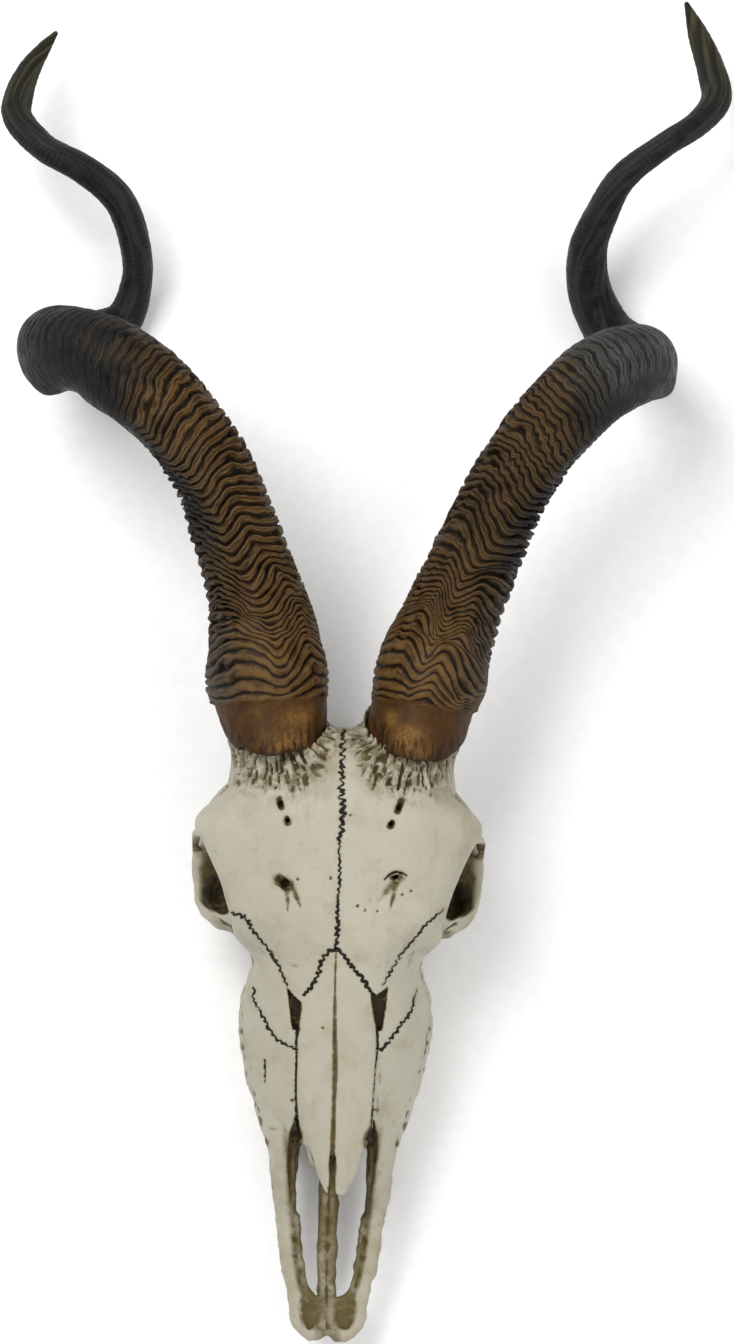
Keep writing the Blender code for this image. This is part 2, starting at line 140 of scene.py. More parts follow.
PTERYGOID = (
    (14, -62, -92, 8),
    (14, -40, -104, 5),
    (14, -20, -108, 4),
    (16, 6, -108, 9),
)
ORBIT_CENTRE = (69.5, -16.5, -42)
ORBIT_AXIS = (0.85, -0.35, 0.42)
ORBIT_RIM_RADIUS = 25.0
ORBIT_RIM_THICKNESS = 3.8
ORBIT_HOLLOWS = (((79, -18, -46), (31, 22, 19.5)), ((67, -27.5, -47), (10, 12.5, 21)))
# Lumps under the eyes, at the cheeks and round the base of the skull: centre, half lengths, blend
BONE_LUMPS = (
    ((56, -34, -64), (12.5, 15, 19), 13),
    ((63, -17, -71), (13, 16, 10), 12),
    ((49.5, -45, -41), (11.5, 13.5, 22), 10),
    ((69, 9, -38), (9, 9, 12), 5),
    ((18, 57, -116), (11, 12, 13), 5),
    ((25, 22, -116), (10, 14, 13), 5),
)
NOSE_HOLLOW = (
    (-216, 0, 21, -34, -56, -92, 2.6, 4.0),
    (-178, 0, 21, -35, -56, -92, 2.6, 4.0),
    (-174, 0, 21, -35, -56, -76, 2.6, 4.0),
    (-150, 0, 21, -33, -56, -78, 2.4, 3.0),
    (-122, 0, 18, -30, -56, -78, 2.2, 3.0),
    (-104, 0, 9, -38, -56, -70, 2.0, 2.0),
)
PALATE_HOLLOW = (
    (-186, 0, 12, -80, -92, -104, 2.2, 3.0),
    (-150, 0, 22, -84, -100, -124, 2.2, 3.0),
    (-100, 0, 26, -90, -110, -130, 2.2, 3.0),
    (-66, 0, 24, -88, -112, -134, 2.2, 3.0),
)
CHOANA = (
    (-74, 0, 8, -82, -94, -120, 2.0, 2.0),
    (-40, 0, 9, -80, -96, -124, 2.0, 2.0),
    (-16, 0, 8, -90, -102, -124, 2.0, 2.0),
)
BRAIN_OPENING = ((0, 30, -96, 9), (0, 60, -108, 9.5), (0, 84, -118, 11))
CHEEK_SHIFT = 1.0
SKULL_STEP = 1.0
SKULL_TRIANGLES = 176000

SEAT_TIP = math.radians(28)
PEDICLE_CENTRE = {-1: (-37.5, 68.5, -38.0), 1: (39.0, 68.5, -38.0)}
PEDICLE_HALF_WIDTH = 27.4
PEDICLE_HALF_DEPTH = 33.5
PEDICLE_DEPTH = 40.0
PEDICLE_OVER_SEAT = 6.0

# Upper cheek teeth from the front one: name, length along the row, breadth, x of the centre
TEETH = (
    ("premolar_2", 11.0, 11.5, 34.5),
    ("premolar_3", 12.5, 13.5, 37.0),
    ("premolar_4", 12.5, 15.0, 38.5),
    ("molar_1", 16.0, 16.5, 40.5),
    ("molar_2", 19.0, 17.5, 41.5),
    ("molar_3", 20.0, 16.5, 41.0),
)
TOOTH_ROW_FRONT = -175.0
TOOTH_SPACING = 0.5
TOOTH_TIP_AT_BACK = -117.0
TOOTH_TIP_SLOPE = 0.15
TOOTH_HEIGHT = 24.0

# Horn centre lines: x, y, z and breadth across the horn, from the base to the tip
HORN_LEFT = (
    (-38.5, 68.5, -38, 58.5),
    (-42.3, 86, -42, 65.4),
    (-44.4, 101, -44, 67.6),
    (-46.4, 115, -48, 63),
    (-49, 130, -52, 59.5),
    (-55.7, 155, -55, 51.7),
    (-76.5, 210, -56, 46.5),
    (-95, 238.5, -53, 46.5),
    (-117, 262.5, -51, 48.5),
    (-140.5, 278.5, -54, 49),
    (-163, 286.5, -67, 47.5),
    (-176, 289.5, -90, 46),
    (-176, 292.5, -119, 39),
    (-161, 299, -150.4, 30),
    (-140.3, 311.8, -164.4, 23),
    (-132.3, 335.9, -155.5, 18),
    (-134.2, 357.8, -145, 17.5),
    (-143.6, 380.7, -133, 17.5),
    (-164, 396.8, -125, 16.2),
    (-188.3, 409.7, -127, 15.2),
    (-205, 427, -137, 16),
    (-206.5, 441, -145, 16),
    (-201.2, 459.2, -154, 12.5),
    (-192.9, 473.5, -160, 8),
    (-185.2, 484.4, -163, 2.5),
)
HORN_RIGHT = (
    (42.2, 68.5, -38, 57),
    (46.1, 86, -42, 59.4),
    (49.6, 101, -44, 62.8),
    (53.9, 116, -49, 60.3),
    (64.5, 144, -54, 53),
    (87.5, 200.7, -56, 47),
    (103.2, 229.3, -55, 46.4),
    (113.8, 244.6, -53, 46.6),
    (135, 269.6, -52, 46.4),
    (150.5, 281, -55, 46.5),
    (164, 286, -67, 45),
    (170, 288.5, -90, 44),
    (171, 293.5, -119, 39),
    (164.8, 300.7, -147.7, 33),
    (152.5, 313.8, -161.7, 30),
    (141.4, 336, -157.6, 27.2),
    (139.2, 358, -146, 23.6),
    (145.2, 377, -135, 20.2),
    (157.9, 400.7, -125, 16.8),
    (182, 420.5, -122, 14.6),
    (203.2, 435.7, -131, 15.1),
    (214.5, 452, -142, 17),
    (211.2, 471, -151, 15.2),
    (203.8, 492, -158, 11.2),
    (195.5, 512, -161, 2.5),
)
HORN_DEPTH_SHARE = 0.95
HORN_BASE_BLEND = 45.0
HORN_KEEL = 0.16
HORN_KEEL_SHARPNESS = 5
HORN_KEEL_START = math.radians(-90)
HORN_KEEL_TURN = math.radians(90)
HORN_KEEL_TURNS_FROM = 110.0
HORN_KEEL_TURNED_AT = 290.0
HORN_CORNER = {-1: 0.13, 1: 0.14}
HORN_CORNER_AT = {-1: 286.0, 1: 279.0}
HORN_CORNER_TURN = {-1: 0.0, 1: math.radians(-25)}
HORN_CORNER_REACH = 9.0
HORN_WAIST_AT = {-1: 262.0, 1: 284.0}
HORN_WAIST_REACH = {-1: 15.0, 1: 28.0}
HORN_LENGTH_DETAILED = 335.0
HORN_STEP = 0.95
HORN_AROUND = 164
# Where the rim of each sheath is lifted: turn and half turn in degrees, height
RIM_LIFT = {-1: (-92, 42, 4.6), 1: (-104, 38, 3.0)}
# Lighter patches of the smooth band: turn, half turn, length, half length, strength
BAND_GLOW = {
    -1: ((-62, 24, 10, 9, 0.5), (-80, 14, 5, 4, 0.4)),
    1: ((-104, 15, 9, 5.5, 1.0), (-94, 12, 4, 3.5, 0.8), (-125, 10, 14, 4, 0.45)),
}
KNOB_PITCH = 7.2
KNOB_HEIGHT = {-1: 1.3, 1: 0.7}
KNOB_RIDGES = {-1: 0.7, 1: 0.35}
RIDGE_HEIGHT_AT = (0, 40, 120, 160, 200, 235, 300, 350, 420, 2000)
RIDGE_HEIGHT = (1.9, 2.1, 2.3, 2.3, 1.9, 1.0, 0.7, 0.5, 0.3, 0.12)
# How far the rings wander, and the turn beyond the keel where the plainer side starts, along the horn
WAVE_AT = (0, 25, 60, 130, 170, 215, 250, 2000)
WAVE_SHARE = (0.35, 0.5, 1, 1, 1.3, 1.2, 0.7, 0.7)
PLAIN_AT = (160, 200, 235, 280)
PLAIN_FROM_TURN = (25, 0, -40, -80)
DULLNESS = {-1: 0.25, 1: 0.85}
ASHY_SHOULDER = {-1: 0.0, 1: 1.0}
CHARCOAL_FROM = {-1: 197, 1: 188}
FINE_LINES = 3

TOOTH_GRID = (96, 34)
TOOTH_SQUARENESS = 2 / 3.4

# Marks on the bone, in the face frame. Each suture is a line of x and y, right then left of the midline.
SUTURES = (
    (
        (0.0, 69.0, 1.2, 0.6), (0.6, 54.2, 1.9, 0.55), (-0.1, 42.8, 1.9, 0.5), (0.2, 31.4, 1.8, 0.5),
        (1.5, 21.4, 1.5, 0.8), (0.8, 11.4, 1.3, 0.7), (-0.5, 4.3, 1.0, 0.45), (0.5, -5.7, 0.7, 0.4),
        (0.8, -17.1, 0.9, 0.6), (-0.1, -27.1, 0.6, 0.5), (-0.1, -37.1, 0.9, 0.6),
        (0.4, -45.6, 1.0, 0.7), (-0.5, -57.0, 0.8, 0.7),
    ),
    (
        (-0.7, -57.2, 0.5, 0.7), (-5.2, -58.8, 1.2, 0.6), (-9.3, -65.8, 1.4, 0.55),
        (-11.2, -74.4, 1.3, 0.6), (-18.1, -83.9, 0.4, 0.6),
    ),
    (
        (0.4, -57.0, 0.5, 0.75), (4.8, -61.2, 1.0, 0.8), (8.5, -66.8, 1.2, 0.75),
        (15.1, -73.7, 1.0, 0.8), (19.6, -80.7, 0.4, 0.7),
    ),
    (
        (-61.5, -38.8, 1.0, 0.5), (-55.6, -40.0, 1.6, 0.6), (-51.3, -42.0, 1.4, 0.65),
        (-49.0, -47.6, 0.8, 0.6), (-40.9, -56.7, 0.8, 0.55), (-33.5, -67.9, 0.9, 0.5),
        (-28.2, -79.1, 0.5, 0.5),
    ),
    (
        (60.5, -33.0, 0.6, 0.4), (49.9, -42.9, 0.7, 0.5), (45.1, -49.4, 0.6, 0.45),
        (37.5, -58.9, 0.8, 0.4), (32.1, -67.6, 1.1, 0.4), (27.0, -77.5, 0.6, 0.3),
    ),
    (
        (-48.1, -82.5, 1.0, 0.4), (-47.2, -89.6, 0.9, 0.4), (-42.0, -98.0, 0.9, 0.55),
        (-36.7, -107.2, 0.9, 0.6), (-30.9, -112.0, 0.9, 0.6), (-22.3, -116.1, 0.3, 0.6),
    ),
    (
        (46.7, -80.7, 0.5, 0.2), (42.8, -95.1, 0.9, 0.5), (38.6, -98.8, 0.9, 0.5),
        (36.6, -103.1, 0.9, 0.55), (29.0, -113.3, 0.8, 0.6), (24.8, -114.8, 0.3, 0.6),
    ),
)
CREASES = (
    (
        (-21.2, -103.9, 0.9, 1.2), (-22.0, -110.3, 0.6, 1.0), (-21.7, -120.3, 0.5, 0.9),
        (-21.7, -131.7, 0.5, 0.9), (-21.5, -146.0, 0.55, 1.0), (-20.0, -160.2, 0.8, 1.2),
        (-18.5, -168.0, 1.0, 1.2),
    ),
    (
        (24.4, -102.7, 0.7, 1.2), (24.8, -114.8, 0.6, 1.0), (23.9, -124.8, 0.3, 0.8),
        (23.7, -130.5, 0.25, 0.8), (23.1, -144.8, 0.3, 0.8), (22.4, -159.1, 0.5, 1.0),
        (20.5, -167.0, 0.8, 1.2),
    ),
    (
        (-40.2, -123.7, 0.4, 0.9), (-40.0, -130.0, 0.55, 1.0), (-39.8, -136.5, 0.3, 0.9),
    ),
    (
        (26.2, -16.4, 0.3, 0.7), (29.0, -13.4, 0.6, 1.2), (32.0, -12.0, 0.7, 1.4),
        (35.0, -12.2, 0.6, 1.2), (38.8, -13.7, 0.3, 0.6),
    ),
)
NASAL_GROOVE = (
    (-0.3, -58.0, 0.35, 0.4), (-0.3, -74.1, 0.5, 0.6), (-0.2, -96.9, 1.0, 1.1),
    (0.8, -126.8, 1.4, 1.5), (0.6, -145.4, 1.1, 1.5), (0.6, -159.6, 1.2, 1.6), (0.5, -184.0, 1.4, 1.7),
)


CORNERS = [(i, j, k) for i in (0, 1) for j in (0, 1) for k in (0, 1)]


def clamp01(value):
    return np.clip(value, 0.0, 1.0)


def ease(value, start, end):
    """From 0 at start to 1 at end, smoothly."""
    share = clamp01((value - start) / (end - start))
    return share * share * (3 - 2 * share)


def bell(value, power=2):
    """1 at zero, and less to both sides of it."""
    return np.exp(-(value**power))


def unit(vectors):
    return vectors / np.maximum(np.linalg.norm(vectors, axis=1, keepdims=True), 1e-9)


def spline(rows, step):
    """Rows about one step apart on a smooth curve through rows of numbers, measured on the first three."""
    rows = np.array(rows, float)
    ends = np.vstack([2 * rows[0] - rows[1], rows, 2 * rows[-1] - rows[-2]])
    path = []
    for p0, p1, p2, p3 in zip(ends, ends[1:], ends[2:], ends[3:]):
        pieces = max(1, round(float(np.linalg.norm((p2 - p1)[:3])) / step))
        for t in np.arange(pieces) / pieces:
            curve = 2 * p1 + (p2 - p0) * t + (2 * p0 - 5 * p1 + 4 * p2 - p3) * t * t
            path.append(0.5 * (curve + (3 * p1 - p0 - 3 * p2 + p3) * t**3))
    path.append(rows[-1])
    return np.array(path)


def seat_frame(side):
    """The way out of the flat seat that a horn sits on, and two ways across it."""
    normal = np.array((side * 0.05, math.cos(SEAT_TIP), math.sin(SEAT_TIP)))
    normal = normal / np.linalg.norm(normal)
    first = np.array((1.0, 0, 0))
    first -= first @ normal * normal
    first /= np.linalg.norm(first)
    return normal, first, np.cross(normal, first)


class Field:
    """A signed distance on a grid, negative inside, that shapes are joined to and cut from."""

    LOW = np.array((-94.0, -298.0, -142.0))
    HIGH = np.array((94.0, 92.0, 8.0))
    FAR = 20.0

    def __init__(self, step):
        self.step = step
        self.axes = [np.arange(low, high, step) for low, high in zip(self.LOW, self.HIGH)]
        self.values = np.full([len(axis) for axis in self.axes], self.FAR, np.float32)

    def coarser(self, times):
        """The same field with only every so many grid lines kept."""
        field = Field(self.step * times)
        field.values = self.values[::times, ::times, ::times]
        return field

    def region(self, low, high, margin):
        """The part of the grid round a box, and its x, y and z."""
        parts, places = [], []
        for axis, (line, least, most) in enumerate(zip(self.axes, low, high)):
            first = max(0, int(np.searchsorted(line, least - margin)))
            last = min(len(line), int(np.searchsorted(line, most + margin)))
            parts.append(slice(first, max(first + 1, last)))
            shape = [1, 1, 1]
            shape[axis] = -1
            places.append(line[parts[-1]].reshape(shape).astype(np.float32))
        return tuple(parts), places

    def put(self, parts, distance, blend, cut=False):
        """Joins a shape to the field or cuts it out, with the edge between them rounded over the blend."""
        old = -self.values[parts] if cut else self.values[parts]
        mix = np.maximum(blend - np.abs(old - distance), 0) / (blend or 1)
        new = np.minimum(old, distance) - mix * mix * blend / 4
        self.values[parts] = -new if cut else new

    def loft(self, stations, blend, cut=False, end=3.0):
        """A tube of superellipse sections: y, centre x, half width, top, middle, bottom, powers."""
        path = spline(stations, 2.0)
        path = path[np.argsort(path[:, 0])]
        reach = np.abs(path[:, 1]).max() + path[:, 2].max()
        low = (-reach, path[0, 0], path[:, 5].min())
        high = (reach, path[-1, 0], path[:, 3].max())
        parts, (x, y, z) = self.region(low, high, blend + 3)
        rows = [np.interp(y.ravel(), path[:, 0], column) for column in path.T[1:]]
        rows = [row.reshape(1, -1, 1).astype(np.float32) for row in rows]
        centre, half, top, middle, bottom, power_top, power_bottom = rows
        above = z > middle
        depth = np.where(above, top - middle, middle - bottom)
        power = np.where(above, power_top, power_bottom)
        size = ((np.abs(x - centre) / half) ** power + (np.abs(z - middle) / depth) ** power) ** (1 / power)
        reach = np.sqrt((x - centre) ** 2 + (z - middle) ** 2)
        near_axis = (size - 1) * np.minimum(half, depth)
        distance = np.where(size > 0.3, reach - reach / np.maximum(size, 0.05), near_axis)
        beyond = np.maximum(path[0, 0] - y, y - path[-1, 0]) + 0 * distance
        mix = np.maximum(end - np.abs(distance - beyond), 0) / end
        self.put(parts, np.maximum(distance, beyond) + mix * mix * end / 4, blend, cut)

    def ellipsoid(self, centre, radii, blend, cut=False):
        centre, radii = np.array(centre, float), np.array(radii, float)
        parts, places = self.region(centre - radii, centre + radii, blend + 3)
        away = [axis - middle for axis, middle in zip(places, centre)]
        near = np.sqrt(sum((gap / radius) ** 2 for gap, radius in zip(away, radii)))
        slope = sum((gap / radius**2) ** 2 for gap, radius in zip(away, radii))
        self.put(parts, near * (near - 1) / np.maximum(np.sqrt(slope), 1e-4), blend, cut)

    def tube(self, stations, blend, cut=False, smooth=True):
        """A round bar through stations of x, y, z and radius."""
        path = spline(stations, 5.0) if smooth else np.array(stations, float)
        reach = path[:, 3].max()
        low, high = path[:, :3].min(axis=0), path[:, :3].max(axis=0)
        parts, places = self.region(low - reach, high + reach, blend + 3)
        distance = np.inf
        for start, stop in zip(path, path[1:]):
            along = (stop - start)[:3]
            share = sum((axis - start[i]) * along[i] for i, axis in enumerate(places))
            share = clamp01(share / float(along @ along))
            gap = sum((axis - start[i] - share * along[i]) ** 2 for i, axis in enumerate(places))
            distance = np.minimum(distance, np.sqrt(gap) - (start[3] + share * (stop[3] - start[3])))
        self.put(parts, distance, blend, cut)

    def ring(self, centre, axis, radius, thickness, blend):
        centre, axis = np.array(centre, float), np.array(axis, float)
        axis /= np.linalg.norm(axis)
        reach = radius + thickness
        parts, places = self.region(centre - reach, centre + reach, blend + 3)
        away = [place - middle for place, middle in zip(places, centre)]
        along = sum(part * share for part, share in zip(away, axis))
        out = np.sqrt(np.maximum(sum(part**2 for part in away) - along**2, 0))
        self.put(parts, np.sqrt((out - radius) ** 2 + along**2) - thickness, blend)

    def pedicle(self, side, blend):
        """The oval stump under a horn, run a little past the seat."""
        centre = np.array(PEDICLE_CENTRE[side])
        reach = PEDICLE_DEPTH + 12
        parts, places = self.region(centre - reach, centre + reach, blend + 3)
        away = [place - middle for place, middle in zip(places, centre)]
        ways = seat_frame(side)
        along, across, deep = (sum(part * share for part, share in zip(away, way)) for way in ways)
        growth = 1 + 0.1 * ease(-along, PEDICLE_DEPTH / 2, PEDICLE_DEPTH)
        collar = 0.035 * bell((along + 5) / 5)
        oval = np.sqrt((across / PEDICLE_HALF_WIDTH) ** 2 + (deep / PEDICLE_HALF_DEPTH) ** 2)
        distance = (oval / (growth + collar) - 1) * PEDICLE_HALF_WIDTH
        ends = np.maximum(-PEDICLE_DEPTH - along, along - PEDICLE_OVER_SEAT)
        self.put(parts, np.maximum(distance, ends), blend)

    def sample(self, points):
        """The distance and its slope at each point."""
        place = (points - self.LOW) / self.step
        cell = np.clip(place.astype(int), 0, np.array(self.values.shape) - 2)
        part = (place - cell).astype(np.float32)
        value = np.zeros(len(points), np.float32)
        slope = np.zeros((len(points), 3), np.float32)
        for corner in CORNERS:
            found = self.values[tuple((cell + corner).T)]
            shares = [part[:, i] if corner[i] else 1 - part[:, i] for i in range(3)]
            value += found * shares[0] * shares[1] * shares[2]
            for axis in range(3):
                near, far = (shares[i] for i in range(3) if i != axis)
                slope[:, axis] += (found if corner[axis] else -found) * near * far
        return value, slope / self.step

    def surface(self):
        """Points and four-sided faces of the zero surface."""
        inside = self.values < 0
        whole = [size - 1 for size in inside.shape]
        count = np.zeros(whole, np.uint8)
        for i, j, k in CORNERS:
            count += inside[i : i + whole[0], j : j + whole[1], k : k + whole[2]]
        cells = np.argwhere((count > 0) & (count < 8))
        index = np.full(whole, -1, np.int32)
        index[tuple(cells.T)] = np.arange(len(cells))
        value_at = {corner: self.values[tuple((cells + corner).T)] for corner in CORNERS}
        total = np.zeros((len(cells), 3))
        hits = np.zeros(len(cells))
        for near in CORNERS:
            for axis in range(3):
                if near[axis]:
                    continue
                far = tuple(1 if i == axis else part for i, part in enumerate(near))
                a, b = value_at[near], value_at[far]
                crossed = (a < 0) != (b < 0)
                spot = np.tile(np.array(near, float), (len(cells), 1))
                spot[:, axis] += np.where(crossed, a / np.where(crossed, a - b, 1), 0)
                total[crossed] += spot[crossed]
                hits += crossed
        points = (cells + total / hits[:, None]) * self.step + self.LOW
        faces = []
        for axis in range(3):
            second, third = (axis + 1) % 3, (axis + 2) % 3
            low, high = [slice(None)] * 3, [slice(None)] * 3
            low[axis], high[axis] = slice(0, -1), slice(1, None)
            changed = np.argwhere(inside[tuple(low)] != inside[tuple(high)])
            keep = (changed[:, second] > 0) & (changed[:, third] > 0)
            keep &= (changed[:, second] < whole[second]) & (changed[:, third] < whole[third])
            changed = changed[keep]
            goes_out = inside[tuple(low)][tuple(changed.T)]
            ring = []
            for back_second, back_third in ((1, 1), (0, 1), (0, 0), (1, 0)):
                cell = changed.copy()
                cell[:, second] -= back_second
                cell[:, third] -= back_third
                ring.append(index[tuple(cell.T)])
            ring = np.stack(ring, axis=1)
            ring[~goes_out] = ring[~goes_out][:, ::-1]
            faces.append(ring)
        return points, np.concatenate(faces)


def mirrored(place, side):
    return (side * place[0], *place[1:])


def flat_bars(rows, power, side=1, shift=0.0, share=1.0, more=0.0):
    """Stations for a loft from rows of y, centre x, half width, z of the upper and the lower edge."""
    return [
        (y, side * (x + shift), half * share + more, top, (top + low) / 2, low, power, power)
        for y, x, half, top, low in rows
    ]


def skull_field(step):
    field = Field(step)
    field.loft([(row[0], 0, *row[1:]) for row in FACE], 0)
    field.loft([(row[0], 0, *row[1:]) for row in FOREHEAD], 10)
    field.loft(NASALS, 3.5, end=1.5)
    field.ellipsoid((0, 16, -78), (44, 47, 40), 6)
    field.ellipsoid((0, 44, -98), (36, 22, 24), 6)
    for side in SIDES:
        field.loft(flat_bars(PRONG, 2.8, side, shift=-0.7), 5)
        for stations, blend in ((CHEEK_ARCH, 6), (EAR_PROCESS, 5), (PTERYGOID, 5)):
            field.tube([mirrored(station, side) for station in stations], blend)
        for centre, radii, blend in BONE_LUMPS:
            field.ellipsoid(mirrored(centre, side), radii, blend)
        centre, axis = mirrored(ORBIT_CENTRE, side), mirrored(ORBIT_AXIS, side)
        field.ring(centre, axis, ORBIT_RIM_RADIUS, ORBIT_RIM_THICKNESS, 6)
        field.pedicle(side, 6)
    field.loft(NOSE_HOLLOW, 2, cut=True)
    field.loft(PALATE_HOLLOW, 4, cut=True)
    field.loft(CHOANA, 3, cut=True)
    field.tube(BRAIN_OPENING, 2, cut=True)
    for side in SIDES:
        for centre, radii in ORBIT_HOLLOWS:
            field.ellipsoid(mirrored(centre, side), radii, 3, cut=True)
        field.ellipsoid((side * 58, 16, -62), (12, 18, 26), 5, cut=True)
        field.ellipsoid((side * 17.8 + 1.3, -182, -40), (3.0, 11, 22), 2, cut=True)
    for offset in (-2.7, 2.7):
        field.loft(flat_bars(PALATE_BARS, 2.4, shift=offset, share=0.5, more=0.2), 1.2)
    return field


def grain(points, size, seed):
    """Smooth noise from -1 to 1 with features about this size, the same each run."""
    lattice = np.random.default_rng(seed).uniform(-1, 1, (48, 48, 48)).astype(np.float32)
    place = points / size + 1000
    cell = np.floor(place).astype(int)
    part = (place - cell).astype(np.float32)
    part = part * part * (3 - 2 * part)
    total = np.zeros(len(points), np.float32)
    for corner in CORNERS:
        shares = [part[:, i] if corner[i] else 1 - part[:, i] for i in range(3)]
        total += lattice[tuple(((cell + corner) % 48).T)] * (shares[0] * shares[1]) * shares[2]
    return total


def edges_of(faces):
    count, most = faces.shape[1], int(faces.max()) + 1
    pairs = np.sort(np.concatenate([faces[:, [i, (i + 1) % count]] for i in range(count)]), axis=1)
    keys = np.unique(pairs[:, 0].astype(np.int64) * most + pairs[:, 1])
    return np.stack(np.divmod(keys, most), axis=1)


def relax(values, edges, rounds):
    """Moves each row of values half way to the mean of its neighbours, so many times."""
    values = np.array(values, float)
    count = np.maximum(np.bincount(edges.ravel(), minlength=len(values)), 1)
    for _ in range(rounds):
        for i in range(values.shape[1]):
            column = values[:, i]
            total = np.bincount(edges[:, 0], column[edges[:, 1]], len(values))
            total += np.bincount(edges[:, 1], column[edges[:, 0]], len(values))
            values[:, i] = column + 0.5 * (total / count - column)
    return values


def point_normals(points, faces):
    across = points[faces[:, 2]] - points[faces[:, 0]]
    if faces.shape[1] == 4:
        face_normals = np.cross(across, points[faces[:, 3]] - points[faces[:, 1]])
    else:
        face_normals = np.cross(points[faces[:, 1]] - points[faces[:, 0]], across)
    total = np.zeros_like(points)
    for i in range(faces.shape[1]):
        for j in range(3):
            total[:, j] += np.bincount(faces[:, i], face_normals[:, j], len(points))
    return unit(total)


def near_line(points, rows, reach):
    """Distance of each point from a flat line, 99 out of reach, and the line's other columns there."""
    rows = np.array(rows, float)
    line, flat = rows[:, :2], points[:, :2]
    gaps = np.full(len(points), 99.0)
    places = np.zeros(len(points))
    near = np.all((flat > line.min(axis=0) - reach) & (flat < line.max(axis=0) + reach), axis=1)
    spots = flat[near]
    best = np.full(len(spots), 99.0)
    where = np.zeros(len(spots))
    for number, (start, stop) in enumerate(zip(line, line[1:])):
        along = stop - start
        away = spots - start
        share = clamp01(away @ along / (along @ along))
        gap = np.hypot(*(away - share[:, None] * along).T)
        closer = gap < best
        best[closer] = gap[closer]
        where[closer] = (number + share)[closer]
    gaps[near] = best
    places[near] = where
    return gaps, *(np.interp(places, np.arange(len(rows)), column) for column in rows.T[2:])


def zigzag(rows, seed, step=1.75):
    """A suture's jagged run along a smooth line of x, y, swing and half width."""
    random = np.random.default_rng(seed)
    path = spline([(x, y, 0, swing, half) for x, y, swing, half in rows], 0.4)
    run = np.r_[0, np.cumsum(np.hypot(*np.diff(path[:, :2], axis=0).T))]
    stops = [0.0]
    while stops[-1] < run[-1]:
        stops.append(stops[-1] + step * random.uniform(0.55, 1.5))
    stops = np.minimum(stops, run[-1])
    x, y, swing, half = (np.interp(stops, run, path[:, i]) for i in (0, 1, 3, 4))
    course = unit(np.stack([np.gradient(x), np.gradient(y)], axis=1) + 1e-9)
    side = np.stack([-course[:, 1], course[:, 0]], axis=1)
    count = len(stops)
    swings = swing * random.uniform(0.25, 1.0, count) * np.where(np.arange(count) % 2, 1, -1)
    slips = random.uniform(-0.45, 0.45, count) * step
    swings[[0, -1]] = slips[[0, -1]] = 0
    turns = np.stack([x, y], axis=1) + side * swings[:, None] + course * slips[:, None]
    half = half * random.uniform(0.65, 1.35, count)
    return spline([(px, py, 0, h) for (px, py), h in zip(turns, half)], 0.6)[:, [0, 1, 3]]


def smooth_line(rows):
    """Closely spaced rows of x, y, half width and depth."""
    return spline([(x, y, 0, half, depth) for x, y, half, depth in rows], 2.0)[:, [0, 1, 3, 4]]


JAGGED = [zigzag(line, seed) for seed, line in enumerate(SUTURES)]
PLAIN_LINES = [smooth_line(line) for line in CREASES]
GROOVE_LINE = smooth_line(NASAL_GROOVE)
FORAMINA = (
    ((-35.2, 28.0), (-33.9, 23.8), 1.9),
    ((-30.5, 17.2), (-29.8, 14.8), 1.6),
    ((34.8, 29.0), (32.7, 23.4), 2.0),
    ((29.8, 16.6), (28.7, 14.4), 1.6),
    ((-34.0, -18.0), (-29.8, -21.0), 3.3),
    ((30.4, -15.2), (33.6, -14.6), 1.5),
)
VALLEYS = (
    ((-27.6, -20.7, 2.2, 1.6), (-24.0, -27.0, 1.6, 1.0), (-20.9, -33.6, 0.8, 0.2)),
    ((-29.2, -24.0, 1.6, 1.3), (-28.9, -30.0, 1.1, 1.0), (-28.6, -38.0, 0.6, 0.2)),
    ((34.6, -15.0, 3.2, 1.8), (29.5, -20.8, 2.4, 1.3), (23.2, -28.3, 1.6, 0.2)),
    ((33.0, -18.0, 2.0, 1.5), (31.4, -26.0, 1.4, 1.0), (29.8, -35.4, 0.7, 0.2)),
)
TEAR_GAPS = (
    (
        (-28.0, -80.6), (-22.6, -86.2), (-19.6, -88.4), (-19.3, -92.0), (-20.2, -98.0),
        (-20.8, -104.6), (-24.4, -104.0), (-25.8, -95.0), (-27.0, -86.0),
    ),
    (
        (19.6, -80.2), (23.2, -83.4), (29.8, -78.6), (28.8, -90.5), (27.0, -103.6), (23.8, -104.0),
        (21.7, -93.0),
    ),
)
TEAR_GAP_DEPTH = 9.0
# Darkened patches at the slot tops, the hollows of the muzzle tips, the nasal notch, a pit by the left horn
# and notches by the tooth rows: x, y, half width, half height, strength. They are stain with painted shade
# in these recesses.
STAINS_AND_RECESS_SHADE = (
    (-21.0, -168.5, 4.2, 8.0, 2.0),
    (22.3, -168.0, 4.2, 8.0, 2.0),
    (-9.9, -270.5, 7.4, 11.5, 1.15),
    (9.9, -270.5, 7.4, 11.5, 1.15),
    (0.8, -184.0, 2.3, 9.0, 1.2),
    (-59.0, 36.0, 2.5, 2.5, 0.7),
    (-45.9, -151.5, 1.3, 1.5, 1.8),
    (-42.1, -161.4, 1.6, 2.6, 1.8),
    (-38.3, -173.0, 1.4, 2.2, 1.8),
    (42.3, -162.1, 1.5, 2.6, 1.8),
    (37.8, -172.1, 1.2, 1.8, 1.8),
)
# Small pits: x, y, radius. They are sunk and given painted shade.
PITS = (
    (-4.4, -16.1, 0.7), (11.2, -31.8, 0.7), (15.5, -34.1, 0.5), (22.3, -34.3, 0.5), (36.6, -24.7, 0.6),
    (41.6, -22.4, 0.5), (-23.4, -17.4, 0.8), (-6.9, -102.4, 0.6), (-23.7, -146.0, 0.9),
    (-20.9, -157, 0.9), (23.6, -150.0, 0.8), (5.8, 20, 0.6), (-59.0, 36.0, 1.0),
)


